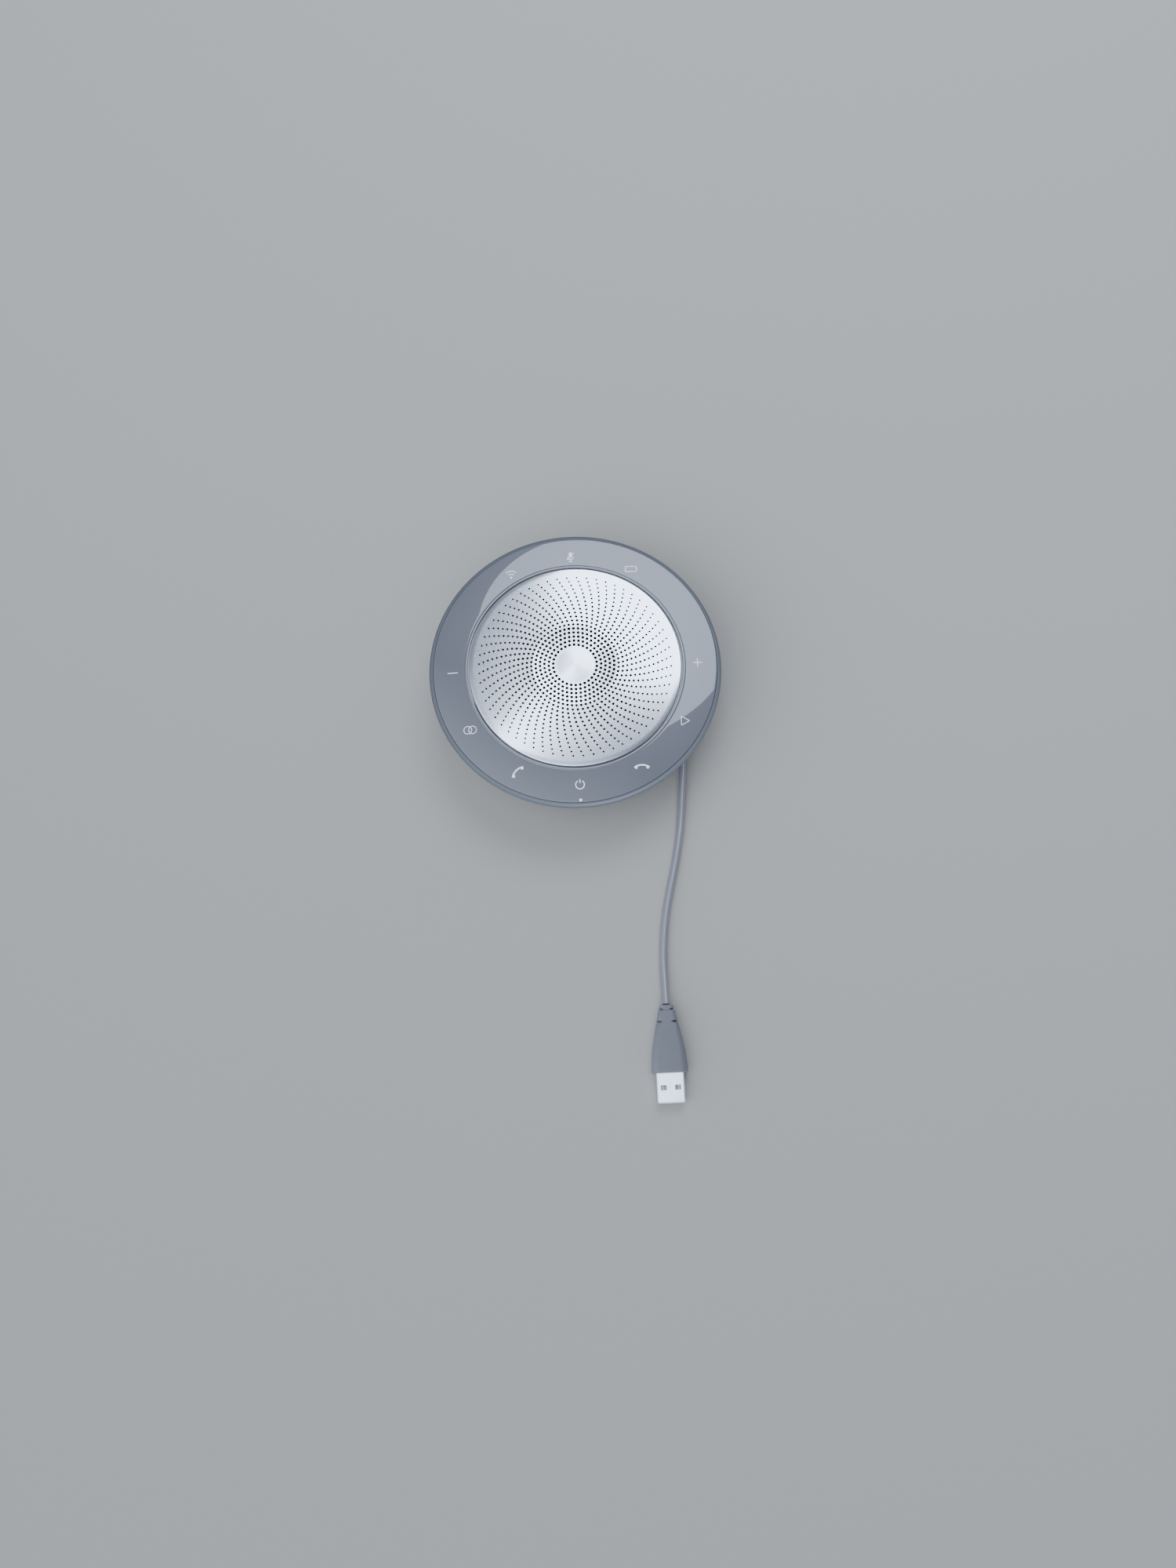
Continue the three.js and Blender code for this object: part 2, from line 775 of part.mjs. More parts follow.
// The cable leaves the groove at the right, drops to the table and curves in to its plug.
const leadPoints = [
  [48.9, -22.5, 7.3],
  [48.5, -27, 7.2],
  [48.1, -32, 6.8],
  [47.6, -37, 6.1],
  [47.2, -42, 5.1],
  [46.8, -47, 4.1],
  [46.3, -52, 3.1],
  [45.8, -57, 2.4],
  [45.2, -63, 1.95],
  [43.4, -75, 1.85],
  [40.8, -87, 1.85],
  [37.8, -99, 1.85],
  [35.2, -111, 1.85],
  [33.7, -123, 1.85],
  [33.2, -132, 2],
  [33.2, -141, 2.8],
  [33.2, -149.8, 3.9],
];

function makeCord() {
  const inner = neckRadius + gap;
  const coil = ring(
    inner, inner + 2 * cordRadius + gap, coverTop + gap, grooveTop - gap, fine,
  );
  add("cord_coil", coil, cordRubber);

  const curve = new THREE.CatmullRomCurve3(leadPoints.map((p) => new THREE.Vector3(...p)));
  const circle = new THREE.Shape().absarc(0, 0, cordRadius, 0, 2 * Math.PI, false);
  const lead = new THREE.ExtrudeGeometry(circle, {
    extrudePath: curve,
    steps: 30,
    curveSegments: 6,
  });
  add("cord_lead", solid(lead), cordRubber);
}

const plugMiddleZ = plugHeight / 2 + 0.1;
const bodyEndY = plugStartY - plugLength;
const shellEndY = bodyEndY - shellLength;

// Two slit collars relieve the cable, then the grip widens to the plug's front.
function makePlugBody() {
  const rightSide = [
    [0, plugCollar.narrow],
    [plugCollar.end, plugCollar.wide],
    [plugCollar.end, collarCore],
    [plugCollar.end + slitWidth, collarCore],
    [plugCollar.end + slitWidth, plugSleeve.narrow],
    [plugSleeve.end, plugSleeve.wide],
    [plugSleeve.end, sleeveCore],
    [plugSleeve.end + slitWidth, sleeveCore],
    [plugSleeve.end + slitWidth, plugGrip.narrow],
    [plugGrip.end, plugGrip.wide],
  ];
  const leftSide = rightSide.map(([along, half]) => [along, -half]).reverse();
  const corners = [...rightSide, ...leftSide].map(
    ([along, half]) => new THREE.Vector2(plugX + half, plugStartY - along),
  );
  const low = plugMiddleZ - plugHeight / 2;
  const body = plate(new THREE.Shape(corners), low, low + plugHeight);
  const socket = block(
    [plugX - shellWidth / 2 - gap, bodyEndY - 1, plugMiddleZ - shellHeight / 2 - gap],
    [plugX + shellWidth / 2 + gap, bodyEndY + 3, plugMiddleZ + shellHeight / 2 + gap],
  );
  add("plug_body", cut(solid(body), socket), plugRubber);
}

function makePlugShell() {
  const back = bodyEndY + 3 - gap;
  const shellBox = (margin, from, to) =>
    block(
      [plugX - shellWidth / 2 + margin, from, plugMiddleZ - shellHeight / 2 + margin],
      [plugX + shellWidth / 2 - margin, to, plugMiddleZ + shellHeight / 2 - margin],
    );
  const windows = [-1, 1].map((side) =>
    block(
      [plugX + side * 2.9 - 1.2, bodyEndY - 7.6, plugMiddleZ],
      [plugX + side * 2.9 + 1.2, bodyEndY - 5.2, plugMiddleZ + shellHeight],
    ),
  );
  const shell = cut(
    solid(shellBox(0, shellEndY, back)),
    shellBox(shellWall, shellEndY - 1, back - shellWall),
    ...windows,
  );
  add("plug_shell", shell, plugSteel);

  const tongueBottom = plugMiddleZ - shellHeight / 2 + shellWall + gap;
  const halfTongue = shellWidth / 2 - shellWall - gap;
  const tongueTop = tongueBottom + tongueHeight;
  const tongue = block(
    [plugX - halfTongue, shellEndY + 0.5, tongueBottom],
    [plugX + halfTongue, back - shellWall - gap, tongueTop],
  );
  add("plug_tongue", tongue, tonguePlastic);
  const pitches = [-3.5, -1, 1, 3.5];
  pitches.forEach((offset, index) => {
    const contact = block(
      [plugX + offset - 0.5, shellEndY + 1.5, tongueTop + gap],
      [plugX + offset + 0.5, shellEndY + 9, tongueTop + gap + 0.25],
    );
    add(`plug_contact_${index + 1}`, contact, contactGold);
  });
}

// ---------------------------------------------------------------- assembly

makeFoot();
makeBottomCover();
makeStand();
makeLowerHousing();
makeGrommet();
makeUpperHousing();
makeTouchRing();
makeTrim();
makeGrille();
makeBaffle();
makeBasket();
makeCone();
makeSuspension();
makeMagnet();
makeMainBoard();
makeChips();
makeBattery();
makeMicrophone();
makeScrews();
makeCord();
makePlugBody();
makePlugShell();

export default object;
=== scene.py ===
"""Conference speakerphone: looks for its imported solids, laid out as a Blender add-on.

Everything is in metres. The frame's solids give the places and the main sizes, and the
settings below hold what a user would change. Each operator makes one group of pieces.
"""

import json
import math

import bmesh
import bpy
from bpy.props import FloatProperty, FloatVectorProperty, IntProperty, PointerProperty
from mathutils import Matrix, Quaternion, Vector
from mathutils.geometry import delaunay_2d_cdt


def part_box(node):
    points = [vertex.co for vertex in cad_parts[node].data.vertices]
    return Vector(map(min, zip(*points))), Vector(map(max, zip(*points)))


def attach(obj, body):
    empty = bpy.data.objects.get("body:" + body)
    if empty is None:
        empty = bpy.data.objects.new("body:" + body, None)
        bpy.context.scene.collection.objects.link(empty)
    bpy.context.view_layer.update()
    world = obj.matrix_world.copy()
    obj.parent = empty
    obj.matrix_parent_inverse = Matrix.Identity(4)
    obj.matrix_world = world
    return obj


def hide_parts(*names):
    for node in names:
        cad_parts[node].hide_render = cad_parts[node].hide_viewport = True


bl_info = {
    "name": "Conference speakerphone",
    "version": (1, 0, 0),
    "blender": (4, 5, 0),
    "location": "View3D > Sidebar > Speakerphone",
    "description": "Builds a tabletop speakerphone around its packed solids",
    "category": "Add Mesh",
}

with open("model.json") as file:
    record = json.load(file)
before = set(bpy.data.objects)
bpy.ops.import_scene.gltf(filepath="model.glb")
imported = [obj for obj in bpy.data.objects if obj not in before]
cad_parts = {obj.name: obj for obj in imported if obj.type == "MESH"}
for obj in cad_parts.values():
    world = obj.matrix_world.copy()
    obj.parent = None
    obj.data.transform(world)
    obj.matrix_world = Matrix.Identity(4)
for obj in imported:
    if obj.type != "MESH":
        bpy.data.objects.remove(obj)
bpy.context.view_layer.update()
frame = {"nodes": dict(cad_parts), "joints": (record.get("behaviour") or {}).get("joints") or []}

MM = 0.001
TURN = 2 * math.pi
BODY = "housing"
FOUR = (1, 2, 3, 4)
SMOOTH = 256  # sides of the large round pieces


# ------------------------------------------------------------------ sizes from the frame


def heights(node):
    """Lowest and highest point of a CAD node."""
    low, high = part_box(node)
    return low.z, high.z


def radii(node):
    """Smallest and largest distance of a CAD node's corners from the Z axis."""
    reach = [vertex.co.xy.length for vertex in frame["nodes"][node].data.vertices]
    return min(reach), max(reach)


def middle(node):
    """Centre of a CAD node's box."""
    low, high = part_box(node)
    return (low + high) / 2


GRILLE_BOTTOM, CROWN = heights("speaker_grille")
GRILLE_RADIUS = radii("speaker_grille")[1]
RING_BOTTOM, RING_INNER_TOP = heights("touch_ring_cover")
RING_INNER, RING_OUTER = radii("touch_ring_cover")
TRIM_BOTTOM = heights("grille_trim")[0]
TRIM_INNER, TRIM_OUTER = radii("grille_trim")
RIM_BOTTOM, COLLAR_TOP = heights("upper_housing")
LEDGE_INNER, RIM_RADIUS = radii("upper_housing")
NECK_BOTTOM, BOWL_TOP = heights("lower_housing")
BOWL_RADIUS = radii("lower_housing")[1]
COIL_TOP = heights("cord_coil")[1]
COIL_INNER = radii("cord_coil")[0]
COVER_BOTTOM, BAY_TOP = heights("bottom_cover")
COVER_RADIUS = radii("bottom_cover")[1]
FOOT_INNER, FOOT_OUTER = radii("foot_ring")
FOOT_TOP = heights("foot_ring")[1]
GAP = 0.3 * MM
NECK_RADIUS = COIL_INNER - GAP


# ------------------------------------------------------------------ settings


def size_setting(name, description, millimetres):
    return FloatProperty(
        name=name, description=description, default=millimetres * MM, unit="LENGTH", precision=5
    )


def angle_setting(name, description, degrees):
    return FloatProperty(
        name=name, description=description, default=math.radians(degrees), subtype="ANGLE"
    )


def number_setting(name, description, default):
    return FloatProperty(name=name, description=description, default=default)


def count_setting(name, description, default):
    return IntProperty(name=name, description=description, default=default)


def colour_setting(name, description, colour):
    return FloatVectorProperty(
        name=name, description=description, default=colour, subtype="COLOR", min=0, max=1
    )


class StageSettings(bpy.types.PropertyGroup):
    lens: number_setting("Lens", "Focal length in millimetres", 33.3)
    distance: size_setting("Distance", "From the camera to the point it looks at", 668.0)
    elevation: angle_setting("Elevation", "Angle of the camera above the floor", 72.14)
    roll: angle_setting("Roll", "How far the camera is turned about its line of sight", 2.52)
    aim_x: size_setting("Aim X", "Where the line of sight meets the floor", 3.5)
    aim_y: size_setting("Aim Y", "Where the line of sight meets the floor", -46.0)
    floor: colour_setting("Floor", "Colour of the floor", (0.415, 0.393, 0.339))
    sky: number_setting("Sky", "Strength of the light all round", 0.25)
    glow: number_setting("Glow", "Strength of the soft light from the left and above", 7.2)
    horizon: number_setting("Horizon", "Strength of the light along the horizon", 0.6)
    key_power: number_setting("Key light", "Watts of the round panel", 13.2)
    tint: colour_setting("Tint", "Colour of all the lights", (0.72, 0.81, 1.0))


class GrilleSettings(bpy.types.PropertyGroup):
    first_ring: count_setting("First ring", "Number of the innermost ring", 5)
    last_ring: count_setting("Last ring", "Number of the outermost ring", 22)
    full_ring: count_setting("Full ring", "From this ring on, rings have equally many holes", 10)
    ring_pitch: size_setting("Ring pitch", "Distance between rings of holes", 1.962)
    twist: angle_setting("Twist", "How far each full ring turns past the one inside it", 1.23)
    dish_hole: size_setting("Dish hole", "Diameter of the holes in the dish", 1.44)
    wide_hole: size_setting("Wide hole", "Diameter of the holes just outside the dish", 1.32)
    fine_hole: size_setting("Fine hole", "Diameter of the outermost holes", 0.93)
    dish_radius: size_setting("Dish radius", "Radius of the dish", 18.9)
    dish_depth: size_setting("Dish depth", "How far the middle of the dish would lie below the dome", 0.7)
    cap_radius: size_setting("Cap radius", "Radius of the smooth cap in the middle", 8.9)
    cap_rise: size_setting("Cap rise", "How far the cap bulges out of the dish", 0.3)
    dome_rise: size_setting("Dome rise", "How far the dome rises from its edge", 1.0)
    skin: size_setting("Skin", "Thickness of the sheet", 0.2)
    colour: colour_setting("Metal", "Colour of the spun metal", (0.8, 0.83, 0.86))


class RingSettings(bpy.types.PropertyGroup):
    crown: size_setting("Crown", "How far the ring's top bulges", 0.15)
    outer_drop: size_setting("Outer drop", "From the ring's inner edge to its outer edge", 1.5)
    inner_edge: size_setting("Inner edge", "Radius of the edge next to the grille", 0.06)
    outer_edge: size_setting("Outer edge", "Radius of the edge next to the rim", 0.09)
    symbol_radius: size_setting("Symbol radius", "Distance of the symbols from the centre", 55.1)
    symbol_shift: size_setting("Symbol shift", "How far the symbols sit towards the front", 0.9)
    light_radius: size_setting("Light radius", "Distance of the status light", 62.9)
    line: size_setting("Line", "Width of a symbol's lines", 0.4)
    colour: colour_setting("Ring", "Colour of the glossy ring", (0.124, 0.129, 0.136))
    symbols: colour_setting("Symbols", "Colour of the printed symbols", (0.9, 0.92, 0.95))


class HousingSettings(bpy.types.PropertyGroup):
    band: size_setting("Rim band", "Width of the rim seen from above", 1.9)
    taper: size_setting("Taper", "How far the rim leans in towards its lower edge", 1.1)
    wall: size_setting("Wall", "Thickness of the housing walls", 2.0)
    floor: size_setting("Floor", "Thickness of the upper housing's floor", 1.2)
    edge: size_setting("Edge", "Radius of the moulded edges", 0.1)
    rim_colour: colour_setting("Rim", "Colour of the rim", (0.07, 0.074, 0.078))
    base_colour: colour_setting("Base", "Colour of the lower housing", (0.11, 0.117, 0.128))
    rubber: colour_setting("Rubber", "Colour of the foot and pads", (0.03, 0.033, 0.038))


class CordSettings(bpy.types.PropertyGroup):
    diameter: size_setting("Diameter", "Diameter of the cable", 3.5)
    pitch: size_setting("Pitch", "Rise of one wound turn", 3.58)
    start: angle_setting("Start", "Angle where the cable leaves the neck", 100)
    end: angle_setting("End", "Angle where the last turn leaves the groove", 5)
    turns: count_setting("Turns", "Whole turns in the groove", 2)
    colour: colour_setting("Cable", "Colour of the cable", (0.185, 0.184, 0.19))
    plug: colour_setting("Plug", "Colour of the plug's rubber", (0.157, 0.158, 0.167))


# ------------------------------------------------------------------ shader tools


class Value:
    """A number on a node tree's wires, for Python's operators to work on."""

    def __init__(self, wiring, socket):
        self.wiring = wiring
        self.socket = socket

    def joined(self, operation, first, second):
        return self.wiring.maths(operation, first, second)

    def __add__(self, other):
        return self.joined("ADD", self, other)

    def __radd__(self, other):
        return self.joined("ADD", other, self)

    def __sub__(self, other):
        return self.joined("SUBTRACT", self, other)

    def __rsub__(self, other):
        return self.joined("SUBTRACT", other, self)

    def __mul__(self, other):
        return self.joined("MULTIPLY", self, other)

    def __rmul__(self, other):
        return self.joined("MULTIPLY", other, self)

    def __pow__(self, other):
        return self.joined("POWER", self, other)


class Wiring:
    """Adds nodes to a node tree."""

    def __init__(self, tree):
        self.tree = tree

    def node(self, kind, settings, inputs, output=0):
        """Adds a node: its settings first, then the values or links of its sockets."""
        made = self.tree.nodes.new(kind)
        for key, setting in settings.items():
            setattr(made, key, setting)
        for key, given in inputs.items():
            if isinstance(given, Value):
                self.tree.links.new(given.socket, made.inputs[key])
            else:
                made.inputs[key].default_value = given
        return Value(self, made.outputs[output])

    def maths(self, operation, *values):
        """A Math node, by the name of its operation."""
        return self.node("ShaderNodeMath", {"operation": operation}, dict(enumerate(values)))


class Finish(Wiring):
    """One material: a Principled shader and the nodes that vary it over the surface."""

    def __init__(self, name, colour, roughness, metallic=0.0, constants=None):
        self.material = bpy.data.materials.new(name)
        self.material.use_nodes = True
        super().__init__(self.material.node_tree)
        self.shader = self.tree.nodes["Principled BSDF"]
        self.colour = (*colour[:3], 1.0)
        self.shader.inputs["Base Color"].default_value = self.colour
        self.shader.inputs["Roughness"].default_value = roughness
        self.shader.inputs["Metallic"].default_value = metallic
        for socket, number in (constants or {}).items():
            self.shader.inputs[socket].default_value = number
        self.material.diffuse_color = self.colour

    def feed(self, socket, value):
        self.tree.links.new(value.socket, self.shader.inputs[socket])

    def place(self):
        """The x, y and z of a point on the surface."""
        point = self.node("ShaderNodeTexCoord", {}, {}, "Object")
        split = self.node("ShaderNodeSeparateXYZ", {}, {0: point})
        outputs = split.socket.node.outputs
        return [Value(self, outputs[axis]) for axis in "XYZ"]

    def from_axis(self):
        """Distance of a point on the surface from the Z axis."""
        x, y, _ = self.place()
        return (x * x + y * y) ** 0.5

    def noise(self, scale, detail=2.0, roughness=0.5, vector=None):
        vector = vector or self.node("ShaderNodeTexCoord", {}, {}, "Object")
        inputs = {"Vector": vector, "Scale": scale, "Detail": detail, "Roughness": roughness}
        return self.node("ShaderNodeTexNoise", {}, inputs)

    def lines(self, along, count, detail=2.0):
        """Fine parallel lines across a direction, count to the metre."""
        inputs = {"W": along * count, "Scale": 1.0, "Detail": detail, "Roughness": 0.65}
        return self.node("ShaderNodeTexNoise", {"noise_dimensions": "1D"}, inputs)

    def vector(self, x, y, z):
        return self.node("ShaderNodeCombineXYZ", {}, {0: x, 1: y, 2: z})

    def mix(self, share, first, second):
        """A colour between two others."""
        inputs = {0: share, 6: first, 7: second}
        return self.node("ShaderNodeMix", {"data_type": "RGBA"}, inputs, 2)

    def shades(self, share, darker, lighter):
        """The finish's own colour, varied between a darker and a lighter share of it."""
        low = (*[channel * darker for channel in self.colour[:3]], 1.0)
        high = (*[min(1.0, channel * lighter) for channel in self.colour[:3]], 1.0)
        self.feed("Base Color", self.mix(share, low, high))

    def bump(self, height, distance, strength=1.0):
        inputs = {"Height": height, "Distance": distance, "Strength": strength}
        self.feed("Normal", self.node("ShaderNodeBump", {}, inputs))


# ------------------------------------------------------------------ finishes


def spun_metal(name, colour):
    """Sheet metal with the fine circles that a lathe leaves."""
    constants = {"Anisotropic": 0.8, "Anisotropic Rotation": 0.25}
    finish = Finish(name, colour, 0.3, 1.0, constants)
    circles = finish.lines(finish.from_axis(), 9000, 3.0)
    finish.feed("Roughness", 0.135 + circles * 0.06)
    finish.shades(finish.noise(60.0, 3.0), 0.94, 1.03)
    finish.bump(circles, 0.002 * MM)
    return finish.material


def gloss_plastic(name, colour):
    """Polished plastic under a hard clear coat, with faint wipe marks."""
    constants = {"Coat Weight": 1.0, "Coat Roughness": 0.02, "Coat IOR": 1.7}
    finish = Finish(name, colour, 0.4, 0.0, constants)
    marks = finish.noise(38.0, 4.0, 0.6)
    finish.feed("Roughness", 0.34 + marks * 0.12)
    finish.shades(marks, 0.94, 1.06)
    finish.bump(finish.noise(90.0, 1.0), 0.003 * MM)
    return finish.material


def grained_plastic(name, colour, roughness=0.5, grain=2600.0):
    """Moulded plastic with the fine grain of an eroded tool."""
    finish = Finish(name, colour, roughness, 0.0, {"Specular IOR Level": 0.25})
    pits = finish.noise(grain, 2.0, 0.6)
    wear = finish.noise(45.0, 4.0)
    finish.feed("Roughness", roughness - 0.1 + wear * 0.16 + pits * 0.06)
    finish.shades(wear, 0.9, 1.08)
    finish.bump(pits, 0.03 * MM, 0.7)
    return finish.material


def soft_rubber(name, colour, roughness=0.72):
    """Matt rubber with a dusty bloom."""
    finish = Finish(name, colour, roughness, 0.0, {"Sheen Weight": 0.15, "Sheen Roughness": 0.5})
    bloom = finish.noise(70.0, 5.0, 0.7)
    specks = finish.noise(1800.0, 2.0)
    finish.feed("Roughness", roughness - 0.08 + bloom * 0.2)
    finish.shades(bloom, 0.86, 1.16)
    finish.bump(specks, 0.02 * MM, 0.6)
    return finish.material


def cable_sheath(name, colour):
    """Smooth extruded sheath with a soft shine and a slight orange peel."""
    constants = {"Coat Weight": 1.0, "Coat Roughness": 0.26, "Coat IOR": 1.6}
    finish = Finish(name, colour, 0.3, 0.0, constants)
    ripple = finish.noise(420.0, 2.0)
    finish.feed("Roughness", 0.3 + ripple * 0.14)
    finish.shades(finish.noise(55.0, 3.0), 0.93, 1.07)
    finish.bump(ripple, 0.02 * MM)
    return finish.material


def plated_steel(name, colour, roughness=0.28):
    """Rolled sheet steel with a plated shine, its lines running along Y."""
    finish = Finish(name, colour, roughness, 1.0)
    x, y, z = finish.place()
    stretched = finish.vector(x * 6.0, y * 0.4, z * 6.0)
    rolled = finish.noise(500.0, 3.0, 0.6, stretched)
    finish.feed("Roughness", roughness - 0.08 + rolled * 0.18)
    finish.shades(finish.noise(120.0, 3.0), 0.9, 1.04)
    finish.bump(rolled, 0.006 * MM)
    return finish.material


def printed_white(name, colour):
    """Translucent white print, lit a little from behind."""
    finish = Finish(name, colour, 0.42, 0.0, {"Emission Strength": 0.42})
    finish.shader.inputs["Emission Color"].default_value = finish.colour
    finish.shades(finish.noise(900.0, 2.0), 0.93, 1.0)
    return finish.material


def acoustic_cloth(name, colour):
    """Fine square weave that lets sound through."""
    finish = Finish(name, colour, 0.95)
    x, y, _ = finish.place()
    weave = 0.5 + finish.maths("SINE", x * 12000.0) * finish.maths("SINE", y * 12000.0) * 0.5
    finish.shades(weave, 0.55, 1.4)
    finish.bump(weave, 0.05 * MM)
    return finish.material


def circuit_board(name, colour):
    """Solder mask over copper tracks."""
    finish = Finish(name, colour, 0.34, 0.0, {"Coat Weight": 0.3})
    x, y, _ = finish.place()
    grid = finish.maths("SINE", x * 2600.0) * finish.maths("SINE", y * 1900.0)
    tracks = finish.maths("GREATER_THAN", grid, 0.2)
    finish.shades(tracks, 0.8, 1.5)
    finish.bump(tracks, 0.02 * MM)
    return finish.material


def wound_copper(name, colour):
    """Close turns of enamelled wire round Z."""
    finish = Finish(name, colour, 0.3, 1.0)
    turns = 0.5 + 0.5 * finish.maths("SINE", finish.place()[2] * 26000.0)
    finish.shades(turns, 0.55, 1.1)
    finish.bump(turns, 0.08 * MM)
    return finish.material


def pressed_fibre(name, colour):
    """Pressed paper or woven cloth set in resin, with circles moulded round Z."""
    finish = Finish(name, colour, 0.9)
    circles = finish.maths("SINE", finish.from_axis() * 4200.0)
    fibres = finish.noise(1500.0, 4.0, 0.7)
    finish.shades(fibres, 0.75, 1.3)
    finish.bump(fibres * 0.4 + circles * 0.3, 0.12 * MM)
    return finish.material


def ground_ferrite(name, colour):
    """Brittle grey ceramic with grinding marks."""
    finish = Finish(name, colour, 0.62)
    grit = finish.noise(2200.0, 3.0, 0.7)
    finish.feed("Roughness", 0.5 + grit * 0.25)
    finish.shades(grit, 0.7, 1.35)
    finish.bump(grit, 0.04 * MM)
    return finish.material


def creased_foil(name, colour):
    """Laminated foil pouch with soft creases."""
    finish = Finish(name, colour, 0.34, 0.9)
    creases = finish.noise(180.0, 3.0, 0.55)
    finish.feed("Roughness", 0.26 + creases * 0.2)
    finish.shades(creases, 0.85, 1.05)
    finish.bump(creases, 0.25 * MM, 0.6)
    return finish.material


def open_foam(name, colour):
    """Closed-cell foam with its cells cut open."""
    finish = Finish(name, colour, 0.96)
    inputs = {"Scale": 2200.0, "Vector": finish.node("ShaderNodeTexCoord", {}, {}, "Object")}
    cells = finish.node("ShaderNodeTexVoronoi", {}, inputs)
    finish.shades(cells, 0.5, 1.3)
    finish.bump(cells, 0.15 * MM)
    return finish.material


def studio_floor(name, colour):
    """Plain pale sheet with a barely visible tooth."""
    finish = Finish(name, colour, 0.7)
    tooth = finish.noise(300.0, 3.0)
    finish.shades(tooth, 0.985, 1.015)
    finish.bump(tooth, 0.02 * MM, 0.4)
    return finish.material


# Each finish's maker, its colour or the setting that holds it, and what else the maker takes.
FINISHES = {
    "studio_floor": (studio_floor, "stage.floor"),
    "cable_sheath": (cable_sheath, "cord.colour"),
    "plug_rubber": (soft_rubber, "cord.plug", 0.5),
    "plug_steel": (plated_steel, (0.9, 0.93, 0.97), 0.4),
    "contact_plate": (plated_steel, (0.78, 0.74, 0.66), 0.3),
    "white_plastic": (grained_plastic, (0.8, 0.8, 0.78)),
    "spun_metal": (spun_metal, "grille.colour"),
    "acoustic_cloth": (acoustic_cloth, (0.012, 0.012, 0.014)),
    "ring_gloss": (gloss_plastic, "ring.colour"),
    "printed_white": (printed_white, "ring.symbols"),
    "frosted_clear": (gloss_plastic, (0.62, 0.65, 0.66)),
    "circuit_board": (circuit_board, (0.016, 0.07, 0.035)),
    "rim_plastic": (grained_plastic, "housing.rim_colour", 0.42, 3200.0),
    "base_plastic": (grained_plastic, "housing.base_colour", 0.55),
    "foot_rubber": (soft_rubber, "housing.rubber"),
    "screw_steel": (plated_steel, (0.36, 0.38, 0.4), 0.35),
    "speaker_steel": (plated_steel, (0.3, 0.32, 0.34), 0.38),
    "cone_paper": (pressed_fibre, (0.02, 0.02, 0.022)),
    "spider_cloth": (pressed_fibre, (0.5, 0.34, 0.12)),
    "foam": (open_foam, (0.05, 0.05, 0.053)),
    "coil_copper": (wound_copper, (0.55, 0.24, 0.09)),
    "ferrite": (ground_ferrite, (0.06, 0.06, 0.064)),
    "shield_steel": (plated_steel, (0.52, 0.53, 0.55), 0.36),
    "chip_plastic": (grained_plastic, (0.02, 0.02, 0.022)),
    "battery_foil": (creased_foil, (0.46, 0.48, 0.5)),
}

finishes = {}


def settings_of(group):
    """The scene's settings for one group of pieces."""
    return getattr(bpy.context.scene, f"speakerphone_{group}")


def finish_of(name):
    """The one material of a name, made the first time that it is asked for."""
    if name not in finishes:
        maker, colour, *extra = FINISHES[name]
        if isinstance(colour, str):
            group, setting = colour.split(".")
            colour = getattr(settings_of(group), setting)
        finishes[name] = maker(name, colour, *extra)
    return finishes[name]


# ------------------------------------------------------------------ mesh tools


def on_circle(radius, angle, height=0.0):
    return Vector((radius * math.cos(angle), radius * math.sin(angle), height))


def filleted(outline, radius, closed=True, steps=4):
    """Rounds an outline's corners to a radius, or to less where a side is short."""
    points = [Vector(point) for point in outline]
    rounded = []
    for index, corner in enumerate(points):
        if not closed and index in (0, len(points) - 1):
            rounded.append(corner)
            continue
        back = points[index - 1] - corner
        ahead = points[(index + 1) % len(points)] - corner
        reach = min(radius, 0.45 * back.length, 0.45 * ahead.length)
        start = corner + back.normalized() * reach
        end = corner + ahead.normalized() * reach
        for step in range(steps + 1):
            share = step / steps
            rounded.append(start.lerp(corner, share).lerp(corner.lerp(end, share), share))
    return rounded


def lathe(bm, outline, segments=192, axis=None):
    """Adds (radius, height) points turned about Z, or about a vertical line through axis."""
    centre = axis or Vector((0, 0, 0))
    rings = []
    for radius, height in outline:
        count = segments if radius > 1e-7 else 1
        spots = [on_circle(radius, TURN * step / segments, height) for step in range(count)]
        rings.append([bm.verts.new(centre + spot) for spot in spots])
    closed = len(rings[0]) > 1
    following = rings[1:] + rings[:1] if closed else rings[1:]
    for lower, upper in zip(rings, following):
        for step in range(segments):
            after = step + 1
            corners = [
                lower[step % len(lower)],
                lower[after % len(lower)],
                upper[after % len(upper)],
                upper[step % len(upper)],
            ]
            bm.faces.new(list(dict.fromkeys(corners)))


def slab(bm, outline, bottom, top):
    """Adds a plate that stands on a plan outline of (x, y) points."""
    lower = [bm.verts.new((x, y, bottom)) for x, y in outline]
    upper = [bm.verts.new((x, y, top)) for x, y in outline]
    bm.faces.new(lower[::-1])
    bm.faces.new(upper)
    for index in range(len(outline)):
        bm.faces.new((lower[index - 1], lower[index], upper[index], upper[index - 1]))


def rectangle(low, high):
    return [(low[0], low[1]), (high[0], low[1]), (high[0], high[1]), (low[0], high[1])]


def skin_sections(bm, sections, capped=True):
    """Adds a skin over closed sections that have the same number of points."""
    rings = [[bm.verts.new(point) for point in section] for section in sections]
    for near, far in zip(rings, rings[1:]):
        for index in range(len(near)):
            bm.faces.new((near[index - 1], near[index], far[index], far[index - 1]))
    if capped:
        bm.faces.new(rings[0][::-1])
        bm.faces.new(rings[-1])


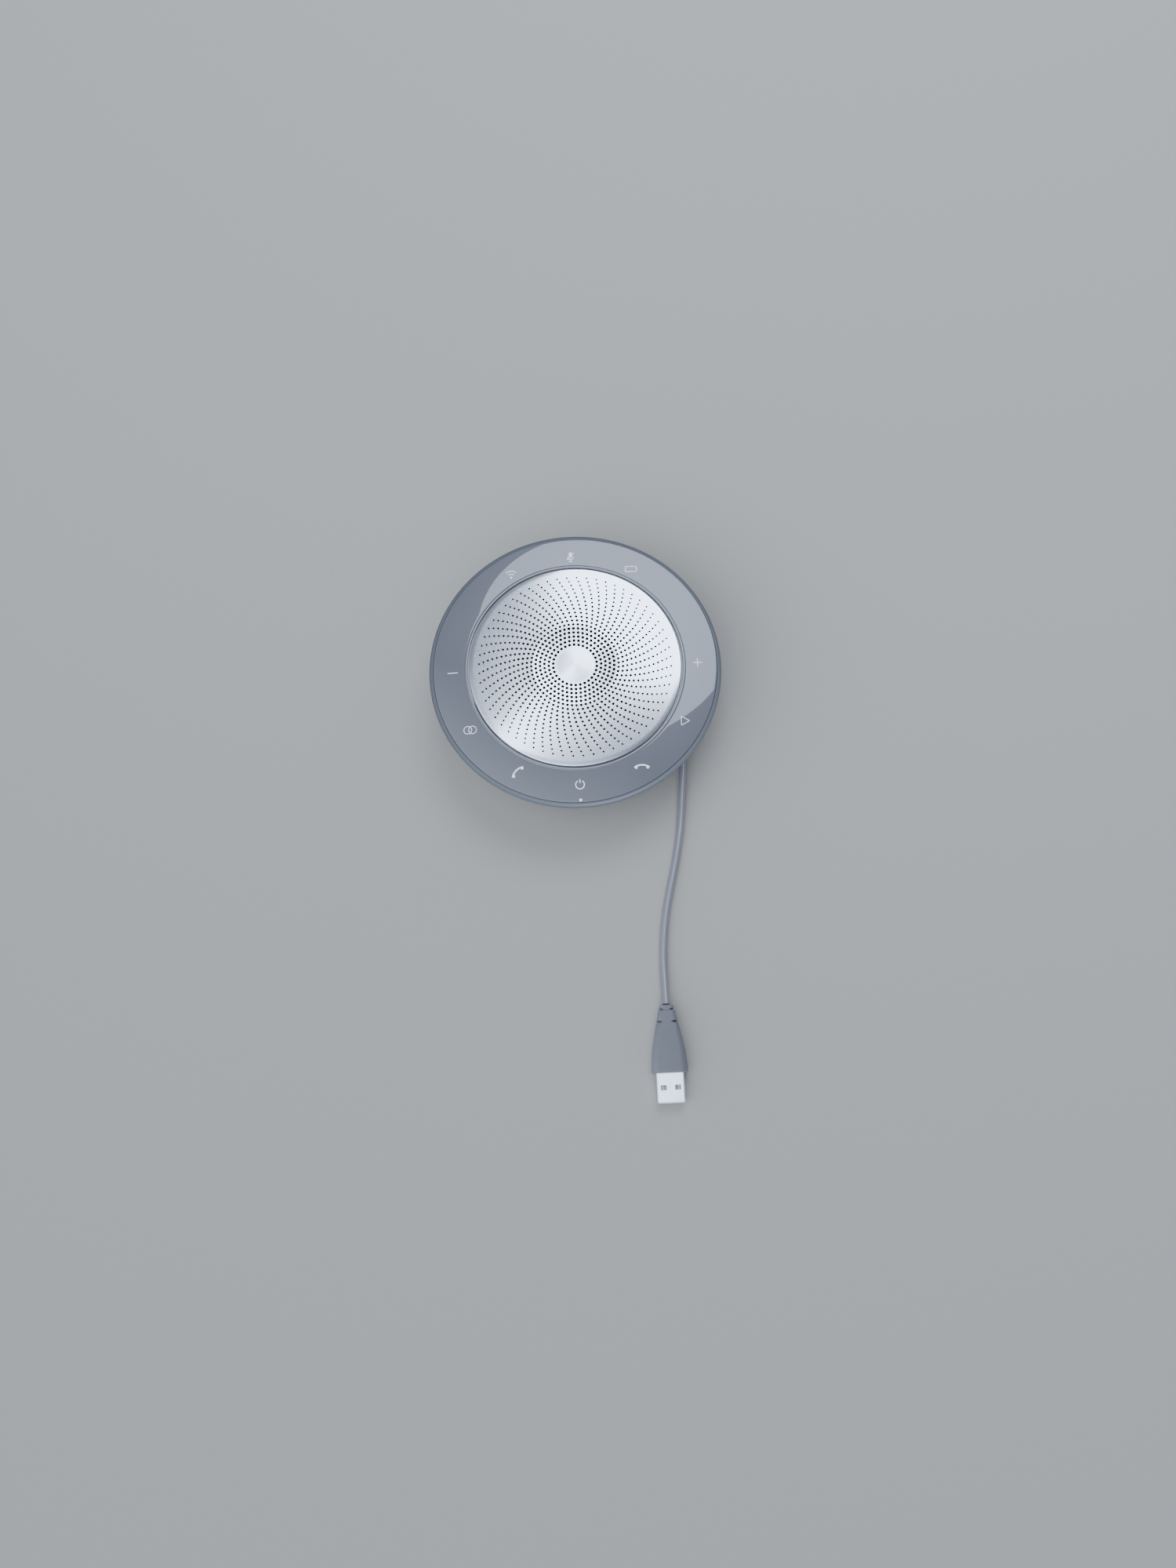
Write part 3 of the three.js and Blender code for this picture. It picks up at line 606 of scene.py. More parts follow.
def sweep(bm, path, widths, sides=24):
    """Adds a round bar along a path, with a radius for each of its points."""
    sections = []
    side = Vector((0, 0, 1))
    for index, (point, width) in enumerate(zip(path, widths)):
        ahead = path[min(index + 1, len(path) - 1)]
        behind = path[max(index - 1, 0)]
        along = (ahead - behind).normalized()
        side = (side - along * side.dot(along)).normalized()
        other = along.cross(side)
        turns = [TURN * step / sides for step in range(sides)]
        sections.append(
            [point + width * (side * math.cos(turn) + other * math.sin(turn)) for turn in turns]
        )
    skin_sections(bm, sections)


def lathed(outline, segments=192, axis=None):
    bm = bmesh.new()
    lathe(bm, outline, segments, axis)
    return bm


def slabbed(outline, bottom, top):
    bm = bmesh.new()
    slab(bm, outline, bottom, top)
    return bm


def mesh_of(name, bm, *materials):
    """Turns what was drawn into a mesh."""
    mesh = bpy.data.meshes.new(name)
    bm.to_mesh(mesh)
    bm.free()
    for material in materials:
        mesh.materials.append(material)
    return mesh


def object_of(name, data):
    """Puts a mesh, a curve, a light or a camera into the scene."""
    made = bpy.data.objects.new(name, data)
    bpy.context.scene.collection.objects.link(made)
    return made


def add_piece(name, bm, finish, nodes=(), body=BODY, crease=35.0):
    """Makes a mesh into a piece that rides on a body and stands for CAD nodes."""
    bmesh.ops.recalc_face_normals(bm, faces=bm.faces)
    mesh = mesh_of(name, bm, finish_of(finish))
    mesh.shade_smooth()
    mesh.set_sharp_from_angle(angle=math.radians(crease))
    piece = object_of(name, mesh)
    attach(piece, body)
    if nodes:
        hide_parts(*nodes)
    return piece


def add_cutter(bm):
    """A throwaway object that carve() takes out of a piece."""
    bmesh.ops.recalc_face_normals(bm, faces=bm.faces)
    return object_of("cutter", mesh_of("cutter", bm))


def soften(piece, width, segments):
    """Rounds a piece's sharp edges."""
    bevel = piece.modifiers.new("edges", "BEVEL")
    bevel.width = width
    bevel.segments = segments
    return bevel


def carve(piece, cutters, edge=None, crease=35.0):
    """Takes cutters out of a piece, then softens its sharp edges."""
    for cutter in cutters:
        modifier = piece.modifiers.new("cut", "BOOLEAN")
        modifier.object = cutter
        modifier.solver = "EXACT"
    if edge:
        bevel = soften(piece, edge, 2)
        bevel.limit_method = "ANGLE"
        bevel.angle_limit = math.radians(50)
    bpy.context.view_layer.update()
    depsgraph = bpy.context.evaluated_depsgraph_get()
    carved = bpy.data.meshes.new_from_object(piece.evaluated_get(depsgraph))
    piece.modifiers.clear()
    piece.data = carved
    carved.shade_smooth()
    carved.set_sharp_from_angle(angle=math.radians(crease))
    for cutter in cutters:
        bpy.data.objects.remove(cutter)


def repaint(finish, *nodes):
    """Gives CAD nodes that stay a finish of their own."""
    for node in nodes:
        data = frame["nodes"][node].data
        data.materials.clear()
        data.materials.append(finish_of(finish))


# ------------------------------------------------------------------ stage

PANEL_HEIGHT = 1.2
FLOOR_REACH = 30.0
GLOW_FROM = (-0.5, -0.5, 0.7)
GLOW_EDGE = 0.55  # the glow starts where a direction agrees this much with GLOW_FROM


def add_panel(name, place, size, power, turn=0, shape="RECTANGLE"):
    """A level light panel over the object, turned by an angle in degrees."""
    light = bpy.data.lights.new(name, "AREA")
    light.shape = shape
    light.size, light.size_y = size
    light.energy = power
    light.color = settings_of("stage").tint
    panel = object_of(name, light)
    panel.location = (*place, PANEL_HEIGHT)
    panel.rotation_euler = (0, 0, math.radians(turn))
    return panel


def light_only(piece, *panels):
    """Keeps panels for one piece, as a studio's flags and small reflectors do."""
    reach = bpy.data.collections.new(f"{piece.name}_light_reach")
    reach.objects.link(piece)
    for panel in panels:
        panel.light_linking.receiver_collection = reach


class SPEAKERPHONE_OT_stage(bpy.types.Operator):
    """Lays the floor and sets the lights and the camera"""

    bl_idname = "speakerphone.stage"
    bl_label = "Stage"

    def execute(self, context):
        settings = context.scene.speakerphone_stage
        self.lay_floor()
        self.set_lights(context.scene, settings)
        self.set_camera(context.scene, settings)
        return {"FINISHED"}

    def lay_floor(self):
        bm = bmesh.new()
        bmesh.ops.create_grid(bm, x_segments=1, y_segments=1, size=FLOOR_REACH)
        object_of("floor", mesh_of("floor", bm, finish_of("studio_floor")))

    def set_lights(self, scene, settings):
        world = bpy.data.worlds.new("studio")
        world.use_nodes = True
        background = world.node_tree.nodes["Background"]
        background.inputs["Color"].default_value = (*settings.tint, 1.0)
        wiring = Wiring(world.node_tree)
        direction = wiring.node("ShaderNodeTexCoord", {}, {}, "Generated")
        inputs = {0: direction, 1: GLOW_FROM}
        facing = wiring.node("ShaderNodeVectorMath", {"operation": "DOT_PRODUCT"}, inputs, "Value")
        ahead = wiring.maths("MAXIMUM", facing - GLOW_EDGE, 0.0)
        height = wiring.node("ShaderNodeSeparateXYZ", {}, {0: direction}, "Z")
        above = wiring.maths("MAXIMUM", height, 0.0)
        strength = settings.sky + ahead * settings.glow + (1.0 - above) ** 2 * settings.horizon
        world.node_tree.links.new(strength.socket, background.inputs["Strength"])
        scene.world = world
        # The edge of this disc shows on the glossy ring as two crisp borders.
        add_panel("key_panel", (0.22, 0.8), (1.02, 1.02), settings.key_power, shape="DISK")

    def set_camera(self, scene, settings):
        camera = object_of("camera", bpy.data.cameras.new("camera"))
        camera.data.lens = settings.lens
        aim = Vector((settings.aim_x, settings.aim_y, 0))
        back = Vector((0, -math.cos(settings.elevation), math.sin(settings.elevation)))
        camera.rotation_mode = "QUATERNION"
        camera.location = aim + back * settings.distance
        level = (-back).to_track_quat("-Z", "Y")
        camera.rotation_quaternion = level @ Quaternion((0, 0, 1), -settings.roll)
        camera.data.clip_start = 0.01
        scene.camera = camera


# ------------------------------------------------------------------ cable

STEPS_PER_TURN = 24
TUCK_ANGLE, TUCK = 0.25, 1.6 * MM  # how the first turn starts closer to the neck

# The free part of the cable: the same points as the CAD tube's, in metres.
LEAD = [
    (0.0489, -0.0225, 0.0073),
    (0.0485, -0.027, 0.0072),
    (0.0481, -0.032, 0.0068),
    (0.0476, -0.037, 0.0061),
    (0.0472, -0.042, 0.0051),
    (0.0468, -0.047, 0.0041),
    (0.0463, -0.052, 0.0031),
    (0.0458, -0.057, 0.0024),
    (0.0452, -0.063, 0.00195),
    (0.0434, -0.075, 0.00185),
    (0.0408, -0.087, 0.00185),
    (0.0378, -0.099, 0.00185),
    (0.0352, -0.111, 0.00185),
    (0.0337, -0.123, 0.00185),
    (0.0332, -0.132, 0.002),
    (0.0332, -0.141, 0.0028),
    (0.0332, -0.1498, 0.0039),
]


def wound_part(settings):
    """Centreline of the turns in the groove, clockwise and downwards from the neck."""
    reach = settings.diameter / 2
    radius = COIL_INNER + reach + 0.1 * MM
    top = COIL_TOP - reach - 0.05 * MM
    sweep_angle = settings.turns * TURN + settings.start - settings.end
    steps = round(sweep_angle / TURN * STEPS_PER_TURN)
    points = []
    for step in range(steps + 1):
        turned = sweep_angle * step / steps
        tucked = max(0.0, 1.0 - turned / TUCK_ANGLE) ** 2 * TUCK
        drop = settings.pitch * turned / TURN
        points.append(on_circle(radius - tucked, settings.start - turned, top - drop))
    return points


def smooth_curve(name, points, radius, finish):
    """A round bar on one open Bezier spline."""
    curve = bpy.data.curves.new(name, "CURVE")
    curve.dimensions = "3D"
    curve.bevel_depth = radius
    curve.bevel_resolution = 6
    curve.resolution_u = 8
    curve.use_fill_caps = True
    spline = curve.splines.new("BEZIER")
    spline.bezier_points.add(len(points) - 1)
    for knot, point in zip(spline.bezier_points, points):
        knot.co = point
        knot.handle_left_type = "AUTO"
        knot.handle_right_type = "AUTO"
    curve.materials.append(finish_of(finish))
    return object_of(name, curve)


def length_of(points):
    return sum((after - before).length for before, after in zip(points, points[1:]))


class SPEAKERPHONE_OT_cable(bpy.types.Operator):
    """Winds the cable into its groove, leads it to the plug and makes the plug"""

    bl_idname = "speakerphone.cable"
    bl_label = "Cable and plug"

    def execute(self, context):
        settings = context.scene.speakerphone_cord
        wound = wound_part(settings)
        route = wound + [Vector(point) for point in LEAD]
        cable = smooth_curve("usb_cable", route, settings.diameter / 2, "cable_sheath")
        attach(cable, BODY)
        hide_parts("cord_coil", "cord_lead")
        light_only(cable, add_panel("cable_panel", (0.42, 0.35), (0.32, 1.2), 7))
        self.make_boot(settings, wound)
        plug = [self.make_grip(), self.make_shell(), *self.make_contacts()]
        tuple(route[0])
        length_of(route)
        return {"FINISHED"}

    def make_boot(self, settings, wound):
        """The grommet in the neck, and the tapered boot that the cable leaves through."""
        low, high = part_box("cable_grommet")
        inner = radii("cable_grommet")[0]
        half = 4.2 * MM
        outline = filleted(rectangle((inner, -half), (NECK_RADIUS, half)), 0.5 * MM)
        turned = [Matrix.Rotation(settings.start, 2) @ point for point in outline]
        bm = slabbed(turned, low.z, high.z)
        dense = [wound[0].lerp(wound[1], step / 6) for step in range(6)]
        dense += [wound[1].lerp(wound[2], step / 6) for step in range(7)]
        clearance, flare, groove = 0.12 * MM, 0.75 * MM, 0.25 * MM
        widths = []
        for step in range(len(dense)):
            taper = 1 - step / (len(dense) - 1)
            bulge = flare - groove if step % 2 else flare
            widths.append(settings.diameter / 2 + clearance + taper * bulge)
        sweep(bm, dense, widths)
        add_piece("cable_boot", bm, "plug_rubber", ["cable_grommet"])

    def make_grip(self):
        """The plug's rubber: two slit collars, then a grip that widens to the front."""
        low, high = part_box("plug_body")
        centre = (low + high) / 2
        length = high.y - low.y + MM
        widest = (high.x - low.x) / 2
        deepest = (high.z - low.z) / 2
        # Distance from the cable's end, half width and half depth, in millimetres.
        stations = [
            (0.0, 2.6, 2.3),
            (0.25, 3.1, 2.7),
            (1.3, 3.25, 2.8),
            (1.5, 3.1, 2.7),
            (1.55, 1.95, 2.72),
            (2.35, 1.95, 2.78),
            (2.4, 3.5, 2.85),
            (2.65, 3.75, 2.95),
            (6.6, 4.6, 3.3),
            (6.85, 4.4, 3.2),
            (6.9, 2.85, 3.22),
            (7.7, 2.85, 3.26),
            (7.8, 4.7, 3.3),
            (8.1, 4.95, 3.4),
            (14.0, 6.2, deepest / MM - 0.2),
            (20.0, 7.3, deepest / MM - 0.05),
            (28.4, widest / MM, deepest / MM),
            (28.9, widest / MM - 0.2, deepest / MM - 0.2),
            (length / MM, widest / MM - 0.7, deepest / MM - 0.7),
        ]
        bm = bmesh.new()
        sections = []
        for along, half_width, half_depth in stations:
            flat, bevel = 0.74 * half_width, 0.62 * half_depth
            quarter = [(half_width, bevel), (flat, half_depth)]
            corners = quarter + [(-x, z) for x, z in reversed(quarter)]
            corners += [(-x, -z) for x, z in corners]
            place = Vector((centre.x, high.y - along * MM, centre.z))
            section = filleted(corners, 0.35 * half_depth, steps=3)
            sections.append([place + Vector((point.x, 0, point.y)) * MM for point in section])
        skin_sections(bm, sections)
        grip = add_piece("plug_grip", bm, "plug_rubber", ["plug_body"], crease=40)
        shell_low, shell_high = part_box("plug_shell")
        slack = 0.1 * MM
        across = (shell_low.x - slack, low.y - MM), (shell_high.x + slack, shell_high.y)
        outline = filleted(rectangle(*across), 0.5 * MM)
        mouth = slabbed(outline, shell_low.z - slack, shell_high.z + slack)
        carve(grip, [add_cutter(mouth)], crease=40)
        return grip

    def make_shell(self):
        """The plug's folded steel shell, with its two latching windows top and bottom."""
        low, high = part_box("plug_shell")
        centre = ((low + high) / 2).xz
        sheet, chamfer = 0.35 * MM, 0.25 * MM
        shrink_x = 1 - 2 * sheet / (high.x - low.x)
        shrink_z = 1 - 2 * sheet / (high.z - low.z)
        outer = filleted(rectangle(low.xz, high.xz), 0.7 * MM, steps=6)
        inner, lip = [], []
        for corner in outer:
            offset = corner - centre
            inner.append(centre + Vector((offset.x * shrink_x, offset.y * shrink_z)))
            lip.append(corner * 0.35 + inner[-1] * 0.65)
        loops = [
            [(x, high.y, z) for x, z in outer],
            [(x, low.y + chamfer, z) for x, z in outer],
            [(x, low.y, z) for x, z in lip],
            [(x, low.y + 0.1 * MM, z) for x, z in inner],
            [(x, high.y - sheet, z) for x, z in inner],
        ]
        bm = bmesh.new()
        skin_sections(bm, loops)
        shell = add_piece("plug_shell_steel", bm, "plug_steel", ["plug_shell"], crease=30)
        cutters = []
        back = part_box("plug_body")[0].y
        half_width, spread = 1.25 * MM, 3.05 * MM
        for window in (centre.x - spread, centre.x + spread):
            corner = (window - half_width, back - 8.3 * MM)
            opposite = (window + half_width, back - 6.1 * MM)
            outline = filleted(rectangle(corner, opposite), 0.2 * MM)
            cutters.append(add_cutter(slabbed(outline, low.z - MM, high.z + MM)))
        carve(shell, cutters, crease=30)
        light_only(shell, add_panel("shell_panel", (0.09, -0.08), (0.6, 0.6), 4.4))
        return shell

    def make_contacts(self):
        """The plug's white tongue and its plated contacts."""
        nodes = ["plug_tongue"] + [f"plug_contact_{number}" for number in FOUR]
        repaint("white_plastic", nodes[0])
        repaint("contact_plate", *nodes[1:])
        return [frame["nodes"][node] for node in nodes]


# ------------------------------------------------------------------ grille

GRILLE_EDGE = 0.5 * MM
HOLE_SIDES = 12
OUTER_CIRCLE = 45.5 * MM  # a plain circle of points between the last holes and the rolled edge


class SPEAKERPHONE_OT_grille(bpy.types.Operator):
    """Makes the perforated metal grille, its trim ring and the cloth behind it"""

    bl_idname = "speakerphone.grille"
    bl_label = "Grille"

    def execute(self, context):
        settings = context.scene.speakerphone_grille
        self.make_sheet(settings)
        self.make_trim()
        repaint("acoustic_cloth", "grille_cloth")
        return {"FINISHED"}

    def face_height(self, settings, radius):
        """Height of the grille's face at a distance from its centre."""
        share = radius / GRILLE_RADIUS
        dome = CROWN - settings.dome_rise * share * share
        inset = radius - (GRILLE_RADIUS - GRILLE_EDGE)
        if inset > 0:
            dome -= GRILLE_EDGE - math.sqrt(max(0.0, GRILLE_EDGE * GRILLE_EDGE - inset * inset))
        if radius < settings.dish_radius:
            dome -= settings.dish_depth * (1 - (radius / settings.dish_radius) ** 2)
        if radius < settings.cap_radius:
            dome += settings.cap_rise * (1 - (radius / settings.cap_radius) ** 2)
        return dome

    def hole_rings(self, settings):
        """Radius, number, first angle and hole radius of each ring of holes."""
        for ring in range(settings.first_ring, settings.last_ring + 1):
            full = min(ring, settings.full_ring)
            count = 6 * full
            offset = TURN / count / 2 if full % 2 else 0.0
            offset += settings.twist * (ring - full)
            past = (ring - full) / (settings.last_ring - settings.full_ring)
            size = settings.wide_hole + (settings.fine_hole - settings.wide_hole) * past
            if ring * settings.ring_pitch < settings.dish_radius:
                size = settings.dish_hole
            yield ring * settings.ring_pitch, count, offset, size / 2

    def make_sheet(self, settings):
        """The domed and dished sheet, cut through by every hole."""
        points, loops = [], []

        def add_loop(centre, radius, count):
            first = len(points)
            for step in range(count):
                points.append(centre + on_circle(radius, TURN * step / count).xy)
            loops.append(range(first, first + count))

        origin = Vector((0, 0))
        holes = list(self.hole_rings(settings))
        for radius, count, offset, size in holes:
            for step in range(count):
                centre = on_circle(radius, offset + TURN * step / count).xy
                add_loop(centre, size, HOLE_SIDES)
        hole_points = len(points)
        # Circles between the rings of holes, at the dish's edge, on the cap and at the rolled edge.
        half = settings.ring_pitch / 2
        plain = [radius + half for radius, *_ in holes]
        plain = [radius for radius in plain if abs(radius - settings.dish_radius) > MM]
        steps = [settings.dish_radius + shift * MM for shift in (-0.44, -0.22, -0.02)]
        cap = [settings.cap_radius * share for share in (0.17, 0.34, 0.5, 0.67, 0.84, 1.0)]
        edge = [GRILLE_RADIUS - shift * MM for shift in (0.5, 0.32, 0.17, 0.07, 0.02, 0.0)]
        for radius in plain + steps + cap + edge + [OUTER_CIRCLE]:
            add_loop(origin, radius, 180 if radius > 15 * MM else 96)
        edges = [(loop[step - 1], loop[step]) for loop in loops for step in range(len(loop))]
        flat, _, faces, *_ = delaunay_2d_cdt(points, edges, [], 0, 1e-7, False)
        bm = bmesh.new()
        verts = []
        for x, y in flat:
            verts.append(bm.verts.new((x, y, self.face_height(settings, math.hypot(x, y)))))
        for face in faces:
            owners = {corner // HOLE_SIDES if corner < hole_points else -1 for corner in face}
            if len(owners) == 1 and owners != {-1}:
                continue
            bm.faces.new([verts[corner] for corner in face])
        self.add_thickness(bm, settings)
        nodes = ["speaker_grille"]
        sheet = add_piece("grille_sheet", bm, "spun_metal", nodes, crease=60)
        self.light_sheet(sheet)

    def light_sheet(self, sheet):
        """Panels that only the sheet sees, so that its circles show two bright sectors."""
        panel = add_panel("grille_panel", (0.43, 0.9), (1.0, 1.0), 19)
        strip = add_panel("grille_strip", (-0.17, 0.27), (0.65, 0.11), 1.05, 45)
        light_only(sheet, panel, strip)
        rest = bpy.data.collections.new("key_light_reach")
        rest.objects.link(sheet)
        rest.collection_objects[0].light_linking.link_state = "EXCLUDE"
        bpy.data.objects["key_panel"].light_linking.receiver_collection = rest

    def add_thickness(self, bm, settings):
        """Turns the outer edge down into a skirt and closes every hole's wall."""
        bm.normal_update()
        top = list(bm.faces)
        border = [edge for edge in bm.edges if edge.is_boundary]
        copy = bmesh.ops.duplicate(bm, geom=top + list(bm.edges) + list(bm.verts))
        twins = copy["vert_map"]
        for face in [item for item in copy["geom"] if isinstance(item, bmesh.types.BMFace)]:
            face.normal_flip()
        inner = GRILLE_RADIUS - settings.skin
        for item in copy["geom"]:
            if isinstance(item, bmesh.types.BMVert):
                reach = item.co.xy.length
                if reach > inner:
                    item.co.xy *= inner / reach
                item.co.z -= settings.skin
        rim = []
        for edge in border:
            first, second = edge.verts
            if first.co.xy.length > GRILLE_RADIUS - 0.01 * MM:
                rim.append(edge)
                continue
            bm.faces.new((first, second, twins[second], twins[first]))
        outer = {}
        for edge in rim:
            for vert in edge.verts:
                if vert not in outer:
                    x, y = vert.co.xy
                    inset = inner / GRILLE_RADIUS
                    low = bm.verts.new((x, y, GRILLE_BOTTOM))
                    outer[vert] = low, bm.verts.new((x * inset, y * inset, GRILLE_BOTTOM))
        for edge in rim:
            first, second = edge.verts
            bm.faces.new((first, second, outer[second][0], outer[first][0]))
            bm.faces.new((outer[first][0], outer[second][0], outer[second][1], outer[first][1]))
            bm.faces.new((outer[first][1], outer[second][1], twins[second], twins[first]))

    def make_trim(self):
        """A glossy ring flush with the touch ring, and its low ledge beside the grille."""
        top = RING_INNER_TOP
        inner, outer = TRIM_INNER - 0.25 * MM, RING_INNER - 0.03 * MM
        ledge_inner, ledge = GRILLE_RADIUS + 0.08 * MM, TRIM_BOTTOM + 0.2 * MM
        section = [
            (ledge_inner, TRIM_BOTTOM),
            (outer, TRIM_BOTTOM),
            (outer, top - 0.05 * MM),
            (outer - 0.05 * MM, top),
            (inner + 0.22 * MM, top),
            (inner + 0.06 * MM, top - 0.06 * MM),
            (inner, top - 0.22 * MM),
            (inner, ledge),
            (ledge_inner, ledge),
        ]
        bm = lathed(section, SMOOTH)
        add_piece("trim_ring", bm, "ring_gloss", ["grille_trim"], crease=50)


# ------------------------------------------------------------------ touch ring


def ring_height(settings, radius):
    """Height of the touch ring's face at a distance from the centre."""
    share = (RING_OUTER - radius) / (RING_OUTER - RING_INNER)
    cone = RING_INNER_TOP - settings.outer_drop * (1 - share)
    return cone + 4 * settings.crown * share * (1 - share)


def arc(centre, radius, start, end, steps=24):
    """(x, y) points on an arc, with its angles in degrees."""
    angles = [math.radians(start + (end - start) * step / steps) for step in range(steps + 1)]
    return [Vector(centre) + on_circle(radius, angle).xy for angle in angles]


PRINT_LIFT, LAYER_LIFT = 0.02, 0.004  # of a print over the ring, and of each next layer, in mm


class SymbolPrinter:
    """Prints one symbol on the touch ring, in millimetres about its own centre."""

    def __init__(self, bm, settings, centre):
        self.bm = bm
        self.settings = settings
        self.centre = centre
        self.layers = 0

    def spot(self, x, y):
        flat = self.centre + Vector((x, y)) * MM
        lift = (PRINT_LIFT + LAYER_LIFT * self.layers) * MM
        return self.bm.verts.new((*flat, ring_height(self.settings, flat.length) + lift))

    def line(self, points, share=1.0, closed=False):
        """A line along points, in short steps, with a share of the set width."""
        points = [Vector(point) for point in points]
        dense = []
        spans = zip(points, points[1:] + points[:1]) if closed else zip(points, points[1:])
        for start, end in spans:
            steps = max(1, round((end - start).length / 0.4))
            dense += [start.lerp(end, step / steps) for step in range(steps)]
        if not closed:
            dense.append(points[-1])
        half = share * self.settings.line / MM / 2
        pairs = []
        for index, point in enumerate(dense):
            before = dense[index - 1] if closed or index else point
            after = dense[(index + 1) % len(dense)] if closed or index + 1 < len(dense) else point
            along = (after - before).normalized()
            side = Vector((-along.y, along.x)) * half
            pairs.append((self.spot(*(point + side)), self.spot(*(point - side))))
        following = pairs[1:] + pairs[:1] if closed else pairs[1:]
        for (left, right), (next_left, next_right) in zip(pairs, following):
            self.bm.faces.new((left, right, next_right, next_left))
        self.layers += 1

    def patch(self, outline):
        """A filled shape inside an outline."""
        self.bm.faces.new([self.spot(*point) for point in outline])
        self.layers += 1

    def disc(self, x, y, radius):
        self.patch(arc((x, y), radius, 0, 345, 23))


def draw_plus(pen):
    pen.line([(-2.0, 0), (2.0, 0)], 0.9)
    pen.line([(0, -2.0), (0, 2.0)], 0.9)


def draw_minus(pen):
    pen.line([(-2.3, 0), (2.3, 0)], 0.9)


def draw_battery(pen):
    bulge = [(2.2, 1.35), (2.65, 0.7), (2.65, -0.7), (2.2, -1.35)]
    pen.line(filleted([(-2.6, -1.35), (-2.6, 1.35), *bulge], 0.3), 0.9, closed=True)


def draw_mute(pen):
    pen.patch(filleted(rectangle((-0.7, -0.4), (0.7, 2.5)), 0.69, steps=8))
    pen.line(arc((0, 0.1), 1.45, 180, 360), 0.85)
    pen.line([(0, -1.4), (0, -2.4)], 0.85)
    pen.line([(-0.9, -2.4), (0.9, -2.4)], 0.85)
    pen.line([(-1.6, -1.5), (1.7, 2.3)], 0.85)


def draw_wireless(pen):
    pen.disc(0, -1.8, 0.5)
    for radius in (1.8, 3.4):
        pen.line(arc((0, -1.8), radius, 48, 132), 1.05)


def draw_link(pen):
    for centre in (-1.05, 1.05):
        pen.line(arc((centre, 0), 1.75, 0, 354, 59), 0.65, closed=True)


def draw_power(pen):
    pen.line(arc((0, -0.1), 1.9, 122, 418, 48), 1.05)
    pen.line([(0, 0.6), (0, 2.3)], 1.05)


def handset(turn):
    """Outline of a handset whose back bulges along +Y before it is turned."""
    centre = (0, -5.3)
    back = arc(centre, 6.0, 54, 126)
    ends = arc(centre, 4.65, 125, 115, 4)
    inner = arc(centre, 5.35, 112, 68, 12)
    starts = arc(centre, 4.65, 65, 55, 4)
    spin = Matrix.Rotation(math.radians(turn), 2)
    return [spin @ point for point in filleted(back + ends + inner + starts, 0.22, steps=2)]


def draw_answer(pen):
    pen.patch(handset(43))


def draw_hang_up(pen):
    pen.patch(handset(0))


def draw_next(pen):
    triangle = filleted([(-1.6, -2.1), (2.1, 0), (-1.6, 2.1)], 0.3, steps=3)
    pen.line(triangle, 0.675, closed=True)


# Each key's angle from the right-hand side, in degrees, and the symbol printed on it.
KEYS = [
    ("volume_up", 0, draw_plus),
    ("battery_level", 60, draw_battery),
    ("mute", 90, draw_mute),
    ("wireless", 120, draw_wireless),
    ("volume_down", 180, draw_minus),
    ("link", 210, draw_link),
    ("answer", 240, draw_answer),
    ("power", 270, draw_power),
    ("hang_up", 300, draw_hang_up),
    ("shortcut", 330, draw_next),
]


class SPEAKERPHONE_OT_touch_ring(bpy.types.Operator):
    """Makes the glossy ring of touch keys with its printed symbols and status light"""

    bl_idname = "speakerphone.touch_ring"
    bl_label = "Touch ring"

    def execute(self, context):
        settings = context.scene.speakerphone_ring
        self.make_cover(settings)
        for name, degrees, draw in KEYS:
            bm = bmesh.new()
            centre = on_circle(settings.symbol_radius, math.radians(degrees)).xy
            centre.y -= settings.symbol_shift
            draw(SymbolPrinter(bm, settings, centre))
            self.add_print(f"symbol_{name}", bm)
        bm = bmesh.new()
        pen = SymbolPrinter(bm, settings, Vector((0, -settings.light_radius)))
        pen.disc(0, 0, 0.62)
        self.add_print("status_light", bm)
        repaint("frosted_clear", "light_guide")
        repaint("circuit_board", "touch_board")
        return {"FINISHED"}

    def add_print(self, name, bm):
        bm.normal_update()
        for face in bm.faces:
            if face.normal.z < 0:
                face.normal_flip()
        piece = object_of(name, mesh_of(name, bm, finish_of("printed_white")))
        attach(piece, BODY)

    def make_cover(self, settings):
        """The ring's face: a low crown between two small rounded edges."""
        inner, outer = RING_INNER, RING_OUTER + 0.12 * MM
        edges = (settings.outer_edge, settings.inner_edge)
        outer_part = [outer - settings.outer_edge * step / 4 for step in range(5)]
        inner_part = [inner + settings.inner_edge * step / 6 for step in range(6, -1, -1)]
        start, end = outer_part[-1], inner_part[0]
        top = outer_part + [start + (end - start) * step / 20 for step in range(1, 20)] + inner_part
        section = [(inner, RING_BOTTOM), (outer, RING_BOTTOM)]
        for radius in top:
            drop = 0.0
            for away, edge in zip((outer - radius, radius - inner), edges):
                if away < edge:
                    drop += edge - math.sqrt(max(0.0, edge * edge - (edge - away) ** 2))
            section.append((radius, ring_height(settings, radius) - drop))
        bm = lathed(section, SMOOTH)
        add_piece("ring_of_keys", bm, "ring_gloss", ["touch_ring_cover"], crease=50)


# ------------------------------------------------------------------ housings


